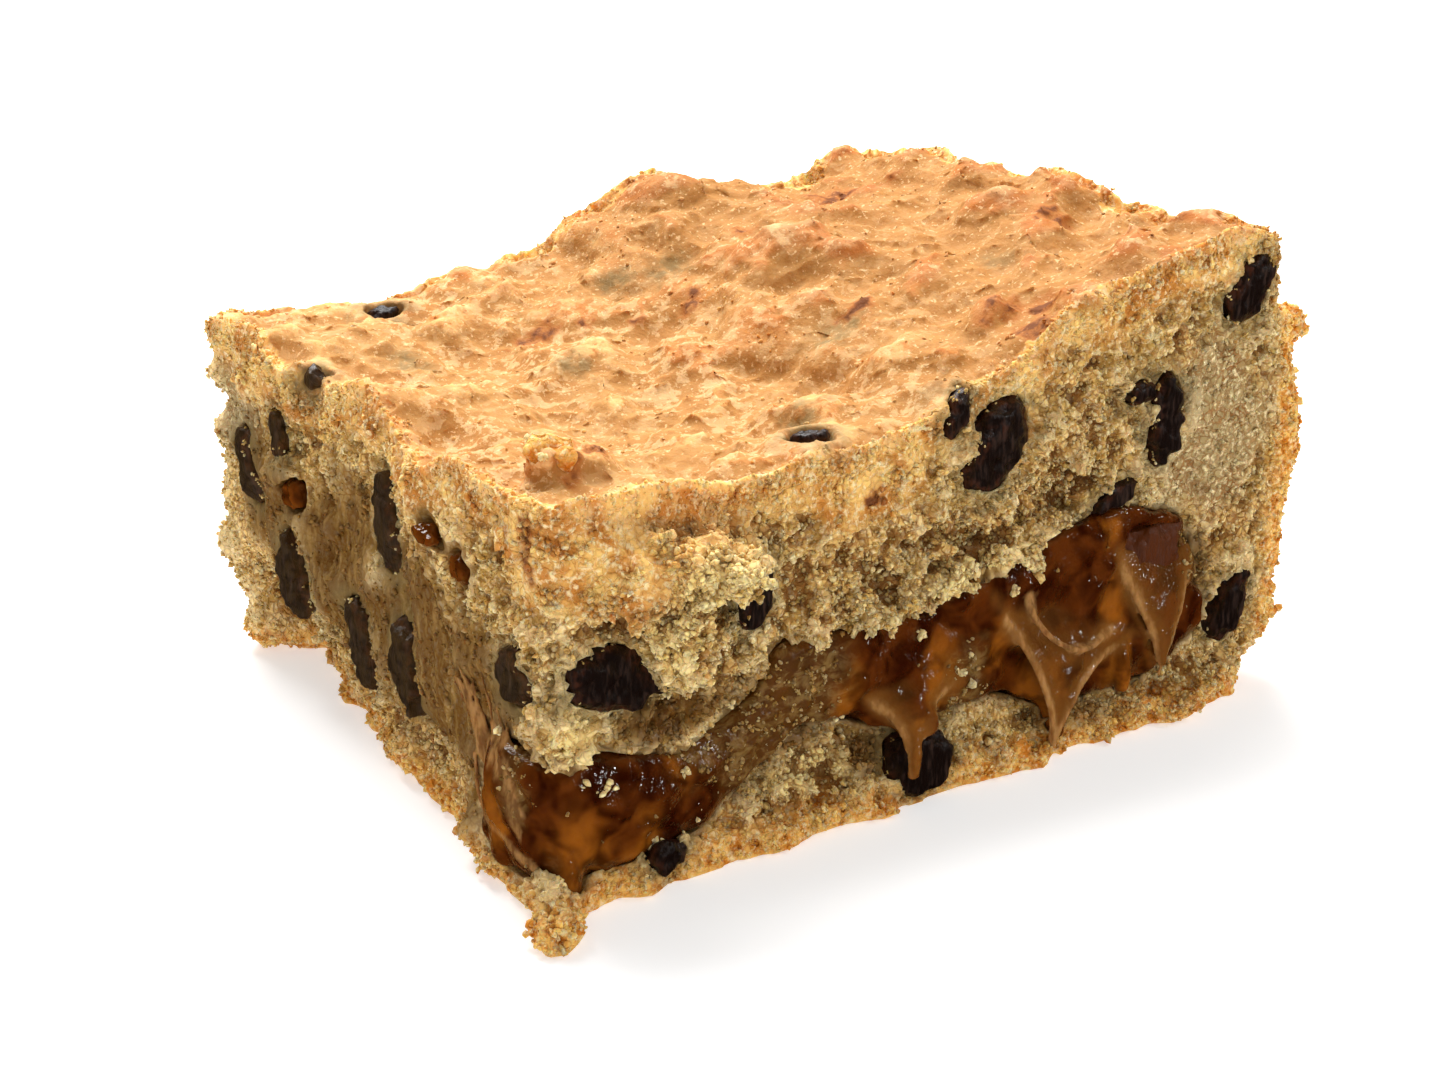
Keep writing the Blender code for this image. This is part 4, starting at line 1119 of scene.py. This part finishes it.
# Floor, light and camera.
# A white table under a large soft light from above and behind, a small one that makes the caramel
# glint, and the place the bar is seen from.
FLOOR_SIZE = 8.0
bpy.ops.mesh.primitive_plane_add(size=FLOOR_SIZE)
floor = bpy.context.object
floor.name = "white_table"
table = new_material("white_table")
finished(
    table,
    {
        "Base Color": (0.72, 0.72, 0.72, 1), "Roughness": 0.9, "Specular IOR Level": 0.1,
        "Emission Color": (1, 1, 1, 1), "Emission Strength": 0.45,
    },
)
floor.data.materials.append(table)
floor.visible_glossy = False

sky = bpy.data.worlds.new("soft_sky")
sky.use_nodes = True
sky.node_tree.nodes["Background"].inputs["Color"].default_value = (1, 1, 1, 1)
sky.node_tree.nodes["Background"].inputs["Strength"].default_value = 0.45
sky.cycles_visibility.glossy = False
bpy.context.scene.world = sky


def softbox(name, place, size, power):
    """A square lamp of this size, turned to the bar."""
    lamp = bpy.data.lights.new(name, "AREA")
    lamp.size = size
    lamp.energy = power
    lit = bpy.data.objects.new(name, lamp)
    lit.location = place
    lit.rotation_euler = (-Vector(place)).to_track_quat("-Z", "Y").to_euler()
    bpy.context.scene.collection.objects.link(lit)
    return lit


# Each lamp's place and size in metres, and its power in watts
softbox("overhead_softbox", (0.1, 0.38, 0.64), 0.55, 10.8)
softbox("glint_lamp", (0.36, -0.38, 0.5), 0.05, 0.9)
softbox("low_glint_lamp", (0.42, -0.5, 0.14), 0.02, 0.2)
front_softbox = softbox("front_softbox", (-0.35, -0.55, 0.4), 0.4, 0.7)
front_softbox.visible_glossy = False

CAMERA_PLACE = Vector((-121.025, -172.79, 96.06)) * MM
CAMERA_PITCH = 90 - 21.324
CAMERA_TURN = -33.937
SENSOR = 36.0
FOCAL_PIXELS = 2281.57
PICTURE_WIDTH = 1448
lens = bpy.data.cameras.new("photo_view")
lens.sensor_width = SENSOR
lens.lens = SENSOR * FOCAL_PIXELS / PICTURE_WIDTH
lens.clip_start = 0.005
camera = bpy.data.objects.new("photo_view", lens)
camera.location = CAMERA_PLACE
camera.rotation_euler = (math.radians(CAMERA_PITCH), 0, math.radians(CAMERA_TURN))
bpy.context.scene.collection.objects.link(camera)
bpy.context.scene.camera = camera
bpy.context.scene.view_settings.view_transform = "Standard"
